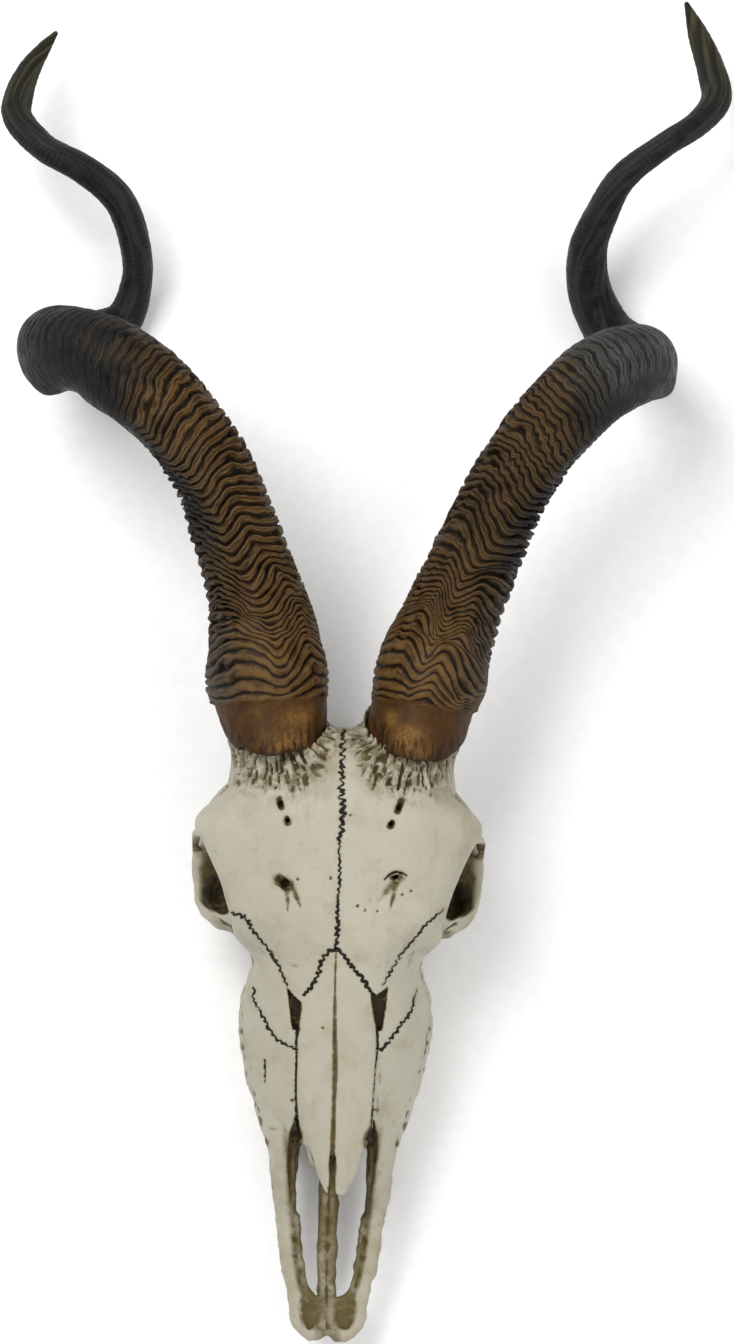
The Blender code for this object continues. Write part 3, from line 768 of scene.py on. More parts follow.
def inside_distance(x, y, corners):
    """Distance of each place from the edge of a flat polygon, negative inside."""
    best = np.inf
    odd = np.zeros(np.broadcast_shapes(x.shape, y.shape), bool)
    for (ax, ay), (bx, by) in zip(corners, corners[1:] + corners[:1]):
        ex, ey = bx - ax, by - ay
        share = clamp01(((x - ax) * ex + (y - ay) * ey) / (ex * ex + ey * ey))
        best = np.minimum(best, np.hypot(x - ax - share * ex, y - ay - share * ey))
        odd ^= ((ay > y) != (by > y)) & (x < ax + (y - ay) * ex / (ey if ey else 1e-9))
    return np.where(odd, -best, best)


def carve_marks(field):
    """The openings in the face: foramina, tear gaps, the notch of the nasal tips, tooth sockets."""
    for (ax, ay), (bx, by), radius in FORAMINA:
        mouth = ((ax, ay, 0.6, radius), (bx, by, -1.0, radius))
        canal = (((ax + bx) / 2, (ay + by) / 2, 0, radius), (bx, by + 1, -6.5, radius * 0.7))
        field.tube(mouth, 1.0, cut=True, smooth=False)
        field.tube(canal, 0.8, cut=True, smooth=False)
    for corners in TEAR_GAPS:
        corner_array = np.array(corners)
        low, high = (*corner_array.min(axis=0), -30), (*corner_array.max(axis=0), 0)
        parts, (x, y, z) = field.region(low, high, 3)
        surface = -8.5 - 0.15 * (-80 - y) - 0.16 * (np.abs(x) - 20)
        depth = surface - z
        chipped = 0.55 * np.sin(1.9 * y + 0.8 * x) * np.sin(0.9 * y - 1.4 * x) + 0.3 * np.sin(3.1 * y)
        edge = inside_distance(x, y, corners) + chipped + 0.36 * clamp01(depth / 9)
        field.put(parts, np.maximum(edge, depth - TEAR_GAP_DEPTH).astype(np.float32), 0.8, cut=True)
    for z in (-22, -26, -30, -34):
        notch = ((0.5, -170, z, 0.6), (0.7, -176, z, 1.8), (0.8, -192, z, 2.3), (0.8, -206, z, 3.0))
        field.tube(notch, 0.6, cut=True, smooth=False)
    for side in SIDES:
        field.ellipsoid((side * 9.9, -271, -58), (8.0, 12, 7), 1.5, cut=True)
        bevel = [(side * (x - half - 0.2), y, top + 1.2, 4.6) for y, x, half, top, _ in PRONG[1:7]]
        upper = ((20.5, 0.8, -157, -30, 2.2), (21, 0.8, -166, -35, 4.0), (21.3, 0.6, -176, -41, 4.6))
        field.tube([(side * x + shift, *rest) for x, shift, *rest in upper] + bevel, 1.5, cut=True)
        field.ellipsoid((side * 47.5, -147, -66), (4, 5.5, 4), 2, cut=True)
        field.ellipsoid((side * 59.5, -128, -60), (6, 26, 9), 6, cut=True)
        for _, front, length, breadth, centre_x, tip in tooth_places():
            middle = np.array((side * centre_x, front + length / 2, tip + TOOTH_HEIGHT / 2))
            radii = (breadth / 2 + 0.5, length / 2 + 0.4, TOOTH_HEIGHT / 2 + 4)
            parts, places = field.region(middle - radii, middle + radii, 3)
            x, y, z = (np.abs(axis - float(centre)) for axis, centre in zip(places, middle))
            size = ((x / radii[0]) ** 4 + (y / radii[1]) ** 4) ** 0.25
            field.put(parts, np.maximum((size - 1) * min(radii[:2]), z - radii[2]), 1.2, cut=True)


def marks(points, normals):
    """Depth of the marks in the bone, how much they darken it (stain along the sutures and painted shade in
    holes, gaps, grooves and pits), and the distance from a dark line in its half widths.
    """
    x, y, z = points.T
    face = on_face(points, normals)
    front = ease(normals[:, 2], 0.05, 0.3)
    depth = np.zeros(len(points))
    dirt_and_hole_shade = np.zeros(len(points))
    line = np.full(len(points), 20.0)
    for rows in JAGGED:
        gap, half = near_line(points, rows, 7)
        depth += face * (0.75 * half / 0.6 * bell(gap / (half * 1.1)) + 0.16 * bell(gap / 2.4))
        dirt_and_hole_shade = np.maximum(dirt_and_hole_shade, face * 0.5 * bell(gap / 1.3))
        line = np.minimum(line, np.where(face > 0.3, gap / half, 20.0))
    for rows in PLAIN_LINES:
        gap, half, deep = near_line(points, rows, 7)
        depth += front * deep * bell(gap / (half * 1.3))
        dirt_and_hole_shade = np.maximum(dirt_and_hole_shade, front * 0.5 * bell(gap / 1.3))
        line = np.minimum(line, np.where(front > 0.3, gap / half, 20.0))
    gap, half, deep = near_line(points, GROOVE_LINE, 8)
    depth += front * deep * bell(gap / half)
    dirt_and_hole_shade = np.maximum(dirt_and_hole_shade, front * 1.5 * bell(gap / (half * 1.05), 4))
    # Painted shade in the grooves below the foramina, more where they are deeper
    for rows in VALLEYS:
        gap, half, deep = near_line(points, smooth_line(rows), 9)
        share = bell(gap / half)
        depth += face * deep * share
        dirt_and_hole_shade = np.maximum(dirt_and_hole_shade, face * share * clamp01(deep))
    for start, stop, radius in FORAMINA:
        (gap,) = near_line(points, (start, stop), 9)
        near = gap < 90
        depth += face * 0.5 * bell((gap - radius) / 2.5) * near
        # Painted shade inside the foramina and round their rims
        dirt_and_hole_shade = np.maximum(dirt_and_hole_shade, 1.9 * (1 - ease(gap, radius - 0.5, radius + 0.15)) * (z > -16))
        dirt_and_hole_shade = np.maximum(dirt_and_hole_shade, face * 0.28 * bell((gap - radius) / 1.2) * near)
    # Painted shade inside the tear gaps
    for corners in TEAR_GAPS:
        inside = -inside_distance(x, y, corners)
        dirt_and_hole_shade = np.maximum(dirt_and_hole_shade, 2.5 * ease(inside, -0.9, 1.0) * (z > -32) * (z < -7.5))
    # Stain with painted shade in the listed recesses
    for stain_x, stain_y, half_width, half_height, strength in STAINS_AND_RECESS_SHADE:
        gap = np.hypot((x - stain_x) / half_width, (y - stain_y) / half_height)
        dirt_and_hole_shade = np.maximum(dirt_and_hole_shade, strength * bell(gap, 6))
    # Painted shade in the pits
    for pit_x, pit_y, radius in PITS:
        gap = np.hypot(x - pit_x, y - pit_y)
        depth += front * 1.4 * bell(gap / radius)
        dirt_and_hole_shade = np.maximum(dirt_and_hole_shade, front * 1.6 * bell(gap / (radius * 1.2)))
    return depth, dirt_and_hole_shade, line


def tooth_places():
    """Name, front end, length, breadth, centre x and tip height of each tooth down one row."""
    places = []
    front = TOOTH_ROW_FRONT
    back_end = front + sum(tooth[1] for tooth in TEETH) + TOOTH_SPACING * (len(TEETH) - 1)
    for name, length, breadth, centre_x in TEETH:
        tip = TOOTH_TIP_AT_BACK + TOOTH_TIP_SLOPE * (back_end - front - length)
        places.append((name, front, length, breadth, centre_x, tip))
        front += length + TOOTH_SPACING
    return places


def pedicle_place(points, side):
    """Height above the seat, angle round it, and oval distance from its axis, for each point."""
    normal, first, second = seat_frame(side)
    away = points - np.array(PEDICLE_CENTRE[side])
    across, deep = away @ first / PEDICLE_HALF_WIDTH, away @ second / PEDICLE_HALF_DEPTH
    return away @ normal, np.arctan2(deep, across), np.hypot(across, deep)


def on_face(points, normals):
    """1 where the bone faces the front of the face, 0 on its sides, back and inside."""
    return ease(normals[:, 2], 0.15, 0.4) * ease(points[:, 2], -62, -50)


def relief(points, normals):
    """How far each point of the bone moves along its normal, in millimetres."""
    x, y, z = points.T
    move = 0.30 * grain(points, 17, 11) + 0.12 * grain(points, 6, 12) + 0.05 * grain(points, 2.6, 13)
    move -= marks(points, normals)[0]
    for side in SIDES:
        height, angle, size = pedicle_place(points, side)
        arc = angle * 30 + side * 200
        flutes = grain(np.stack([arc, height * 0.28, 0 * arc], axis=1), 1.5, 21)
        pocks = grain(np.stack([arc, height * 0.7, 0 * arc], axis=1), 2.4, 22)
        reach = 3.0 * grain(np.stack([arc, 0 * arc, 0 * arc], axis=1), 5, 23)
        here = ease(height, -17 + reach, -9 + reach) * ease(size, 0.5, 0.8)
        here *= (1 - ease(size, 1.35, 1.75)) * ease(side * x, 2, 10)
        lip = bell((height + 4) / 4) * 0.9
        grooves = 2.9 * ease(flutes, -0.12, 0.35) + 1.8 * ease(pocks, 0.1, 0.5)
        move += here * (lip + 0.5 - grooves)
    rim = np.hypot(x, y + 12) > 70
    return move + rim * ease(-y, 10, 30) * 0.9 * grain(points, 5, 31) * ease(-z, 45, 55)


def flatten_seats(points):
    """Trims the stumps to the seats, raised a little where the rim of the horn is lifted."""
    for side, stations in zip(SIDES, (HORN_LEFT, HORN_RIGHT)):
        normal, first, second = seat_frame(side)
        height, _, _ = pedicle_place(points, side)
        away = points - np.array(stations[0][:3], float)
        seat = away @ normal
        radius = stations[0][3] / 2
        across, deep = away @ first, away @ second
        size = np.hypot(across / (radius + 1.5), deep / (radius * 1.2 + 1.5))
        top = rim_lift(side, np.arctan2(deep, across)) * clamp01(size) ** 2 - 0.5
        over = (seat > top) & (size < 1.0) & (height < 14)
        points[over] -= (seat - top)[over][:, None] * normal
    return points


def hollowness(field, spots, normals):
    """How shut in each spot of the bone is, from 0 in the open to 1, felt out by rays; it sets the painted
    shade in the bone's hollows.
    """
    points, faces = field.coarser(2).surface()
    tree = BVHTree.FromPolygons([Vector(point) for point in points], faces.tolist())
    probes, _ = field.coarser(4).surface()
    _, slope = field.sample(probes)
    ways = unit(slope)
    directions = unit(np.random.default_rng(5).normal(size=(18, 3)))
    shut = np.zeros(len(probes))
    kd = KDTree(len(probes))
    for i, (probe, way) in enumerate(zip(probes, ways)):
        kd.insert(probe, i)
        start = Vector(probe + way * 2.5)
        total, hits = 0.0, 0.0
        for direction in directions:
            facing = float(direction @ way)
            if facing < 0:
                direction, facing = -direction, -facing
            total += facing
            if tree.ray_cast(start, Vector(direction), 45)[0] is not None:
                hits += facing
        shut[i] = hits / total
    kd.balance()
    result = np.zeros(len(spots))
    for i, spot in enumerate(spots):
        total, weight = 0.0, 0.0
        for _, index, gap in kd.find_n(spot, 4):
            share = (max(0.0, float(ways[index] @ normals[i])) + 0.05) / (gap + 1.0)
            total += shut[index] * share
            weight += share
        result[i] = total / weight
    return result


def prong_inner_shade(points, normals):
    """1 on the inner faces of the prongs and on the bars between them, 0 on their outer faces: where
    painted shade and brown stain go.
    """
    x, y, z = points.T
    rows = np.array(sorted(PRONG), float)
    centre = np.interp(y, rows[:, 0], rows[:, 1])
    half = np.interp(y, rows[:, 0], rows[:, 2])
    share = ease((centre - np.abs(x)) / half, 0.0, 0.45)
    inward = ease(-normals[:, 0] * np.sign(x), 0.25, 0.7)
    tip = 1 - ease(-y, 262, 274)
    bars = ease(9 - np.abs(x), 0, 3)
    return np.maximum(np.maximum(share, inward) * tip, bars) * ease(-y, 156, 164) * ease(-z, 33, 37)


def orbit_shade(points):
    """How much painted shade the inside of an eye socket gets: most at its lower end, less by its rim, 0
    outside it.
    """
    mirror = np.concatenate([np.abs(points[:, :1]), points[:, 1:]], axis=1)
    share = np.zeros(len(points))
    for centre, radii in ORBIT_HOLLOWS:
        away = np.linalg.norm((mirror - np.array(centre, float)) / radii, axis=1)
        share = np.maximum(share, 1 - ease(away, 1.02, 1.2))
    rim = 1 - 0.75 * ease(mirror[:, 0], 76.5, 82)
    return share * rim * np.interp(points[:, 1], (-40, -22, -5, 8), (1.0, 0.95, 0.6, 0.5))


def new_mesh(name, points, faces):
    mesh = bpy.data.meshes.new(name)
    mesh.from_pydata(points.tolist(), [], faces if isinstance(faces, list) else faces.tolist())
    return mesh


def make_piece(name, points, faces, material, node, layers):
    """A mesh piece from points in the face frame, that stands for a node."""
    place = np.array(TO_REST)
    world = points @ place[:3, :3].T + place[:3, 3]
    world[:, 2] = np.maximum(world[:, 2], FLOOR_GAP)
    mesh = new_mesh(name, world, faces)
    for key, values in layers:
        layer = mesh.attributes.new(key, "FLOAT", "POINT")
        layer.data.foreach_set("value", np.ascontiguousarray(values, dtype=np.float32))
    mesh.polygons.foreach_set("use_smooth", [True] * len(mesh.polygons))
    mesh.materials.append(material)
    piece = bpy.data.objects.new(name, mesh)
    bpy.context.scene.collection.objects.link(piece)
    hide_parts(node)
    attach(piece, "root")


def refine_near_marks(points, faces):
    """Splits the faces round the sutures, so that their jagged run can be cut."""
    close = np.full(len(points), False)
    for line in JAGGED + PLAIN_LINES:
        close |= near_line(points, line, 3)[0] < 2.2
    for side in SIDES:
        height, _, size = pedicle_place(points, side)
        own_side = side * points[:, 0] > 4
        close |= (height > -20) & (height < -0.5) & (size > 0.8) & (size < 1.4) & own_side
    for start, stop, radius in FORAMINA:
        close |= near_line(points, (start, stop), 9)[0] < radius + 1.5
    for corners in TEAR_GAPS:
        close |= np.abs(inside_distance(points[:, 0], points[:, 1], corners)) < 1.5
    close &= points[:, 2] > -60
    mesh = new_mesh("refined", points, faces)
    bm = bmesh.new()
    bm.from_mesh(mesh)
    bm.edges.ensure_lookup_table()
    chosen = [edge for edge in bm.edges if close[edge.verts[0].index] and close[edge.verts[1].index]]
    bmesh.ops.subdivide_edges(bm, edges=chosen, cuts=1, use_grid_fill=True)
    bmesh.ops.triangulate(bm, faces=bm.faces)
    bm.to_mesh(mesh)
    bm.free()
    arrays = mesh_arrays(mesh)
    bpy.data.meshes.remove(mesh)
    return arrays


def mesh_arrays(mesh):
    """Points and triangles of a mesh."""
    mesh.calc_loop_triangles()
    points = np.empty(len(mesh.vertices) * 3, np.float32)
    mesh.vertices.foreach_get("co", points)
    faces = np.empty(len(mesh.loop_triangles) * 3, np.int32)
    mesh.loop_triangles.foreach_get("vertices", faces)
    return points.reshape(-1, 3).astype(float), faces.reshape(-1, 3)


def thin_out(points, faces, most):
    """The same surface with at most this many triangles, kept where it bends."""
    if len(faces) <= most:
        return points, faces
    mesh = new_mesh("thinned", points, faces)
    obj = bpy.data.objects.new("thinned", mesh)
    bpy.context.scene.collection.objects.link(obj)
    obj.modifiers.new("thin", "DECIMATE").ratio = most / len(faces)
    result = bpy.data.meshes.new_from_object(obj.evaluated_get(bpy.context.evaluated_depsgraph_get()))
    arrays = mesh_arrays(result)
    bpy.data.objects.remove(obj)
    bpy.data.meshes.remove(mesh)
    bpy.data.meshes.remove(result)
    return arrays


def settle_on(field, points, edges, rounds):
    """Evens the points out and moves them back onto the field's surface."""
    for _ in range(rounds):
        points = relax(points, edges, 1)
        value, slope = field.sample(points)
        points = points - slope * np.clip(value / np.maximum((slope**2).sum(axis=1), 0.2), -2, 2)[:, None]
    return points


def leaned(points):
    """Both cheeks and eye rims moved a little to the left, as the face is slightly lopsided."""
    outer = ease(np.abs(points[:, 0]), 56, 74)
    level = ease(points[:, 1], -60, -40) * (1 - ease(points[:, 1], 45, 60))
    return points - np.stack([CHEEK_SHIFT * outer * level, 0 * level, 0 * level], axis=1)


def build_skull(material):
    field = skull_field(SKULL_STEP)
    carve_marks(field)
    points, faces = field.surface()
    points = settle_on(field, points, edges_of(faces), 3)
    points, faces = refine_near_marks(points, faces)
    points = settle_on(field, points, edges_of(faces), 1)
    normals = point_normals(points, faces)
    points = flatten_seats(points + normals * relief(points, normals)[:, None])
    points, faces = thin_out(points, faces, SKULL_TRIANGLES)
    edges = edges_of(faces)
    normals = point_normals(points, faces)
    sunk = ((relax(points, edges, 6) - points) * normals).sum(axis=1)
    sunk_wide = ((relax(points, edges, 30) - points) * normals).sum(axis=1)
    _, dirt_and_hole_shade, line = marks(points, unit(relax(normals, edges, 8)))
    collar = np.zeros(len(points))
    for side in SIDES:
        height, _, size = pedicle_place(points, side)
        here = ease(height, -27, -9) * ease(size, 0.7, 0.9) * (1 - ease(size, 1.35, 1.9))
        collar = np.maximum(collar, here)
    layers = (
        # hollow_shade: painted shade in the bone's hollows and eye sockets
        ("hollow_shade", np.maximum(hollowness(field, points, normals), orbit_shade(points))),
        # crevice_wash_and_shade: how sunk the surface is, for brown wash and painted shade in the creases
        ("crevice_wash_and_shade", clamp01(sunk * 2.6) + clamp01(sunk_wide * 0.9)),
        ("dirt_and_hole_shade", dirt_and_hole_shade),
        ("line", line),
        ("collar", collar),
        ("muzzle", ease(-points[:, 1], 150, 215) * ease(-points[:, 2], 40, 50)),
        # inner: painted shade and brown stain on the inner faces of the prongs and the bars between them
        ("inner", prong_inner_shade(points, normals)),
        # underside_shade: painted shade on the faces that turn downwards
        ("underside_shade", ease(-normals[:, 2], -0.1, 0.5)),
    )
    make_piece("skull_bone", leaned(points), faces, material, "skull", layers)


RING_COLUMNS_LEFT = (-180, -110, -60, -38, -25, -13, 0, 13, 25, 33, 50, 75, 110, 180)
RING_COLUMNS_RIGHT = (-180, -110, -65, -45, -30, -20, -8, 0, 8, 20, 40, 65, 110, 180)
RINGS_LEFT = (
    (0, -66, 6.0, (0, 0, 0, 0, 0, 0, 0, 0, 0, 0, 0, 0, 0, 0)),
    (20, -70, 3.4, (0, -2, -2, 0, 1, 0.5, 0, 0.8, 2, 2.5, 2, 0, 0, 0)),
    (25, -71, 2.7, (0, -2, -1, 2.5, 2.5, 1, 0, 1.5, 5, 6, 5, 3, 0, 0)),
    (33, -75, 2.6, (4, 4, 6, 8, 8, 4, 0, 4, 12, 16, 14, 9, 4, 4)),
    (47, -81, 2.9, (8, 18, 28, 23, 17, 7, 0, 5, 14, 20, 18, 14, 8, 8)),
    (56, -84, 5.6, (8, 18, 28, 23, 17, 7, 0, 5, 14, 19, 17, 13, 8, 8)),
    (75, -90, 6.2, (6, 16, 25, 21, 15, 7, 0, 4, 11, 15, 13, 10, 6, 6)),
    (100, -101, 6.6, (4, 12, 22, 18, 13, 6, 0, 3.5, 10, 10.5, 7, 4.5, 4, 4)),
    (125, -107, 6.5, (4, 10, 17, 14, 10, 5, 0, 3, 8, 8.5, 6.5, 4, 4, 4)),
    (160, -120, 5.8, (4, 9, 14, 12, 9, 4, 0, 3, 6, 7.5, 8.5, 7, 4, 4)),
    (200, -142, 5.0, (6, 8, 10, 8, 6, 3, 0, 2, 4, 6, 10, 13, 13, 6)),
    (250, -165, 4.3, (5, 7, 8, 6.5, 5, 2.5, 0, 1.5, 3.5, 5.5, 9, 11.5, 11.5, 5)),
    (300, -185, 3.8, (4, 6, 6, 5, 4, 2, 0, 1, 3, 5, 8, 10, 10, 4)),
    (400, -200, 2.9, (1, 1, 1, 1, 1, 0.5, 0, 0.3, 0.6, 1, 1.5, 2, 2, 1)),
)
RINGS_RIGHT = (
    (0, -114, 6.0, (0, 0, 0, 0, 0, 0, 0, 0, 0, 0, 0, 0, 0, 0)),
    (24, -110, 2.5, (0, -2, -2, -1, 2, 5, 3, 0, 1, 2, 0, -1, 0, 0)),
    (31, -105, 2.1, (0, -2, -5, -4, 2, 6, 3, 0, 3, 6, 8, 7, 3, 0)),
    (42, -96, 2.8, (3, -2, 0, 7, 14, 18, 9, 0, 12, 26, 22, 15, 6, 3)),
    (68, -96, 5.4, (5, 2, 4, 8, 13, 16, 8, 0, 9, 19, 17, 12, 7, 5)),
    (91, -95, 5.6, (5, 8, 15, 14, 12, 9, 4, 0, 6, 12, 12, 9, 7, 5)),
    (106, -82, 6.0, (5, 6, 8, 6, 4, 3, 1, 0, 3, 9, 20, 19, 10, 5)),
    (126, -72, 6.4, (5, 5, 6, 5, 4, 3, 1, 0, 3, 8, 16, 20, 12, 5)),
    (150, -60, 5.9, (4, 5, 5, 4, 3, 2, 1, 0, 2, 6, 13, 17, 12, 4)),
    (200, -38, 4.9, (4, 4, 4, 3, 2, 1.5, 0.5, 0, 1, 4, 8, 11, 12, 4)),
    (250, -10, 4.3, (3.5, 3.5, 3.5, 2.5, 2, 1.2, 0.4, 0, 0.8, 3.5, 7, 10, 10, 3.5)),
    (300, 20, 3.8, (3, 3, 3, 2, 2, 1, 0.3, 0, 0.6, 3, 6, 9, 9, 3)),
    (400, 60, 2.9, (1, 1, 1, 1, 0.6, 0.4, 0.1, 0, 0.2, 0.6, 1, 1.6, 1.5, 1)),
)
RING_STEP = 0.5
RING_LEAST_SPACING = 0.3


def softened(values, rounds):
    """Values evened out with their neighbours, all the way round along the last axis."""
    for _ in range(rounds):
        values = 0.25 * np.roll(values, 1, axis=-1) + 0.5 * values + 0.25 * np.roll(values, -1, axis=-1)
    return values


def ring_counts(side, lengths, turns, wave):
    """Rings up to each point. A ring starts on the dip line and rises from it by the table's columns."""
    columns, table = (RING_COLUMNS_LEFT, RINGS_LEFT) if side < 0 else (RING_COLUMNS_RIGHT, RINGS_RIGHT)
    heads, lines, pitches, rises = zip(*table)
    starts = np.arange(-30, lengths[-1] + 60, RING_STEP)
    line = np.interp(starts, heads, lines)
    count = np.cumsum(RING_STEP / np.interp(starts, heads, pitches))
    rises = np.stack([np.interp(starts, heads, column) for column in zip(*rises)], axis=1)
    off = (np.degrees(turns)[None, :] - line[:, None] + 180) % 360 - 180
    place = np.interp(off * -side, columns, np.arange(len(columns)))
    left = np.minimum(place.astype(int), len(columns) - 2)
    share = place - left
    low, high = np.take_along_axis(rises, left, 1), np.take_along_axis(rises, left + 1, 1)
    rise = low * (1 - share) + high * share
    reach = starts[:, None] + softened(rise, 5)
    spacing = np.maximum(np.diff(reach, axis=0), RING_STEP * RING_LEAST_SPACING)
    reach = reach[:1] + np.vstack([np.zeros_like(reach[:1]), np.cumsum(spacing, axis=0)])
    rings = [np.interp(lengths - wave[:, k], reach[:, k], count) for k in range(len(turns))]
    return np.stack(rings, axis=1)


def horn_path(stations):
    """Path rows with unit tangents and the length so far."""
    fine = spline(stations, 0.5)
    run = np.r_[0, np.cumsum(np.linalg.norm(np.diff(fine[:, :3], axis=0), axis=1))]
    step = HORN_STEP
    near = np.arange(0, HORN_LENGTH_DETAILED, step)
    far = np.arange(HORN_LENGTH_DETAILED, run[-1] - 0.4, step * 2)
    lengths = np.r_[near, far, run[-1] - 0.3]
    rows = np.stack([np.interp(lengths, run, column) for column in fine.T], axis=1)
    return rows, unit(np.gradient(rows[:, :3], axis=0)), lengths


def carried_frames(tangents, across):
    """Sideways vectors that turn as little as they can along the path."""
    firsts = [across]
    for tangent in tangents:
        first = firsts[-1] - (firsts[-1] @ tangent) * tangent
        firsts.append(first / np.linalg.norm(first))
    firsts = np.array(firsts[1:])
    return firsts, np.cross(tangents, firsts)


def degrees_from(turn, start):
    """Angle from start to turn in degrees, from -180 to 180."""
    return (np.degrees(turn - start) + 180) % 360 - 180


def band_glow(side, length, turn):
    """Where the smooth band at the base is lighter."""
    glow = 0 * length
    for middle_turn, half_turn, start, half_length, strength in BAND_GLOW[side]:
        off = degrees_from(turn, math.radians(middle_turn)) / half_turn
        glow = np.maximum(glow, strength * np.exp(-(off**2) - ((length - start) / half_length) ** 4))
    return glow


def rim_lift(side, turn):
    """How far the rim of the sheath stands above the seat, so that the bone's collar shows under it."""
    centre, half, most = RIM_LIFT[side]
    off = np.abs(degrees_from(turn, math.radians(centre)))
    chips = 0.5 * np.sin(7 * turn + side) + 0.35 * np.sin(13 * turn)
    return (most + 0.8 * chips) * (1 - ease(off, half - 14, half + 10)) + 0.25 + 0.2 * chips


def build_horn(side, stations, material):
    rows, courses, lengths = horn_path(stations)
    blend = (1 - ease(lengths, 0, HORN_BASE_BLEND))[:, None]
    tangents = unit(seat_frame(side)[0] * blend + courses * (1 - blend))
    slant = 1 / np.maximum((tangents * courses).sum(axis=1), 0.3)
    firsts, seconds = carried_frames(tangents, np.array((1.0, 0, 0)))
    around = HORN_AROUND
    turns = np.linspace(0, 2 * math.pi, around, endpoint=False)
    length = lengths[:, None] + 0 * turns[None, :]
    turn = turns[None, :] + 0 * lengths[:, None]
    shape = length.shape
    lift = rim_lift(side, turns)[None, :] * (1 - ease(lengths, 0, 14))[:, None]
    keel_turn = HORN_KEEL_TURN * ease(length, HORN_KEEL_TURNS_FROM, HORN_KEEL_TURNED_AT)
    keel = HORN_KEEL_START + side * keel_turn
    keel_share = np.maximum(0, np.cos(turn - keel)) ** HORN_KEEL_SHARPNESS
    corner_share = np.maximum(0, np.cos(turn - keel - HORN_CORNER_TURN[side])) ** (3 * HORN_KEEL_SHARPNESS)
    corner = bell((length - HORN_CORNER_AT[side]) / HORN_CORNER_REACH) * corner_share
    waist = bell((length - HORN_WAIST_AT[side]) / HORN_WAIST_REACH[side])
    swell = 1 + HORN_KEEL * keel_share * (1 - waist) + HORN_CORNER[side] * corner
    radius = rows[:, 3][:, None] / 2 * swell

    def place(radius, deep):
        return (
            rows[:, None, :3]
            + tangents[:, None] * lift[..., None]
            + firsts[:, None] * (radius * np.cos(turn))[..., None]
            + seconds[:, None] * (deep * np.sin(turn))[..., None]
        )

    spots = place(radius, radius).reshape(-1, 3)
    arc = side * 300 + (turn * np.minimum(radius, 30)).ravel()

    def noise_at(size, seed):
        return grain(spots, size, seed + side).reshape(shape)

    def streaks(size, stretch, seed):
        flat = np.stack([arc, (length / stretch).ravel(), 0 * arc], axis=1)
        return grain(flat, size, seed).reshape(shape)

    wide, middle, fine, finest = noise_at(23, 41), noise_at(7, 44), noise_at(2.6, 47), noise_at(1.2, 50)

    # Ridges across the horn
    ripple = streaks(4.5, 2.5, 55)
    wave = (1.7 * wide + 1.5 * middle + 1.1 * ripple + 0.3 * fine) * np.interp(length, WAVE_AT, WAVE_SHARE)
    rings = ring_counts(side, lengths, turns, wave)
    local_pitch = 1 / np.maximum(np.gradient(rings, axis=0) / np.gradient(lengths)[:, None], 0.05)
    phase = 2 * math.pi * rings
    cosine = 0.5 + 0.5 * np.cos(phase + 0.6 * np.sin(phase + 3 * middle))
    split = ease(ripple + 0.6 * middle + 0.4 * wide, -0.35, 0.45)
    split = split * np.clip(local_pitch / 5 - 0.45, 0, 0.65)
    split_turn = 2.4 * middle + wide
    cosine = np.maximum(cosine, split * (0.5 + 0.5 * np.cos(2 * phase + split_turn)) ** 2)

    # The side beyond the keel is knobbed low down, and plainer and duller further up
    beyond_keel = degrees_from(turn, keel) * side
    before_back = 1 - ease(beyond_keel, 120, 160)
    outer_side = ease(beyond_keel, 8, 40) * before_back
    plain_from = np.interp(length, PLAIN_AT, PLAIN_FROM_TURN)
    plain_side = ease(beyond_keel, plain_from - 12, plain_from + 18) * ease(length, 160, 190)
    plain_side = plain_side * before_back * (1 - ease(length, 300, 330))
    dull_side = np.maximum(outer_side * ease(length, 90, 140), plain_side)
    knobs = outer_side * ease(length, 50, 70) * (1 - ease(length, 165, 200))
    height = np.interp(length, RIDGE_HEIGHT_AT, RIDGE_HEIGHT)
    height = height * (1 - 0.65 * plain_side) * (0.95 + 0.3 * wide + 0.4 * middle + 0.25 * ripple)
    height = height * np.clip(local_pitch / 4.6, 0.35, 1.25) * (1 + KNOB_RIDGES[side] * knobs)

    # Between the smooth band at the base and the tip
    band_end = 16 + 7 * np.maximum(0, -np.sin(turn)) + 1.2 * middle + 0.8 * wide
    ringed = ease(length, band_end - 0.8, band_end + 1.2)
    ends = ease(lengths[-1] - length, 0, 8)
    # Painted shade in the ring grooves, where the ridges would shade each other
    dark = ringed * ends * ease(length, 4, 8) * (1 + 0.3 * middle + 0.25 * ripple)
    dark = dark * (1 - 0.6 * plain_side) * (1 - 0.5 * ease(length, 220, 250))
    dark = dark * ease(local_pitch, 0.3, 1.0)
    growth = ringed * ends * (0.3 + height * (0.38 - 1.1 * cosine**2.4))
    outward = np.maximum(0, side * np.cos(turn - side * 0.25)) ** 1.5
    growth += outward * (0.8 + 1.5 * ringed) * (1 - ease(length, 25, 62))
    flutes = ease(streaks(1.7, 8, 53), -0.35, 0.2) * (1 - ease(length, 9, 19)) * (1 - ringed)
    growth += 0.35 * flutes - 0.4 * (1 - ringed)
    lumps = 0.5 + 0.5 * np.cos(2 * math.pi * (length + 1.6 * wide + 0.9 * middle) / KNOB_PITCH)
    growth += knobs * KNOB_HEIGHT[side] * (1.3 * lumps**0.7 - 0.8)
    growth += 0.12 * fine + 0.06 * finest + 0.2 * middle
    growth += 0.14 * streaks(1.6, 12, 54) * ease(length, 290, 360) * ends
    growth = np.where(length < 0.6, np.minimum(growth, 0), growth)
    radius = radius + growth * np.minimum(1, radius / 6)
    points = place(radius, radius * HORN_DEPTH_SHARE * slant[:, None]).reshape(-1, 3)
    points = np.vstack([points, rows[0, :3], rows[-1, :3] + tangents[-1]])

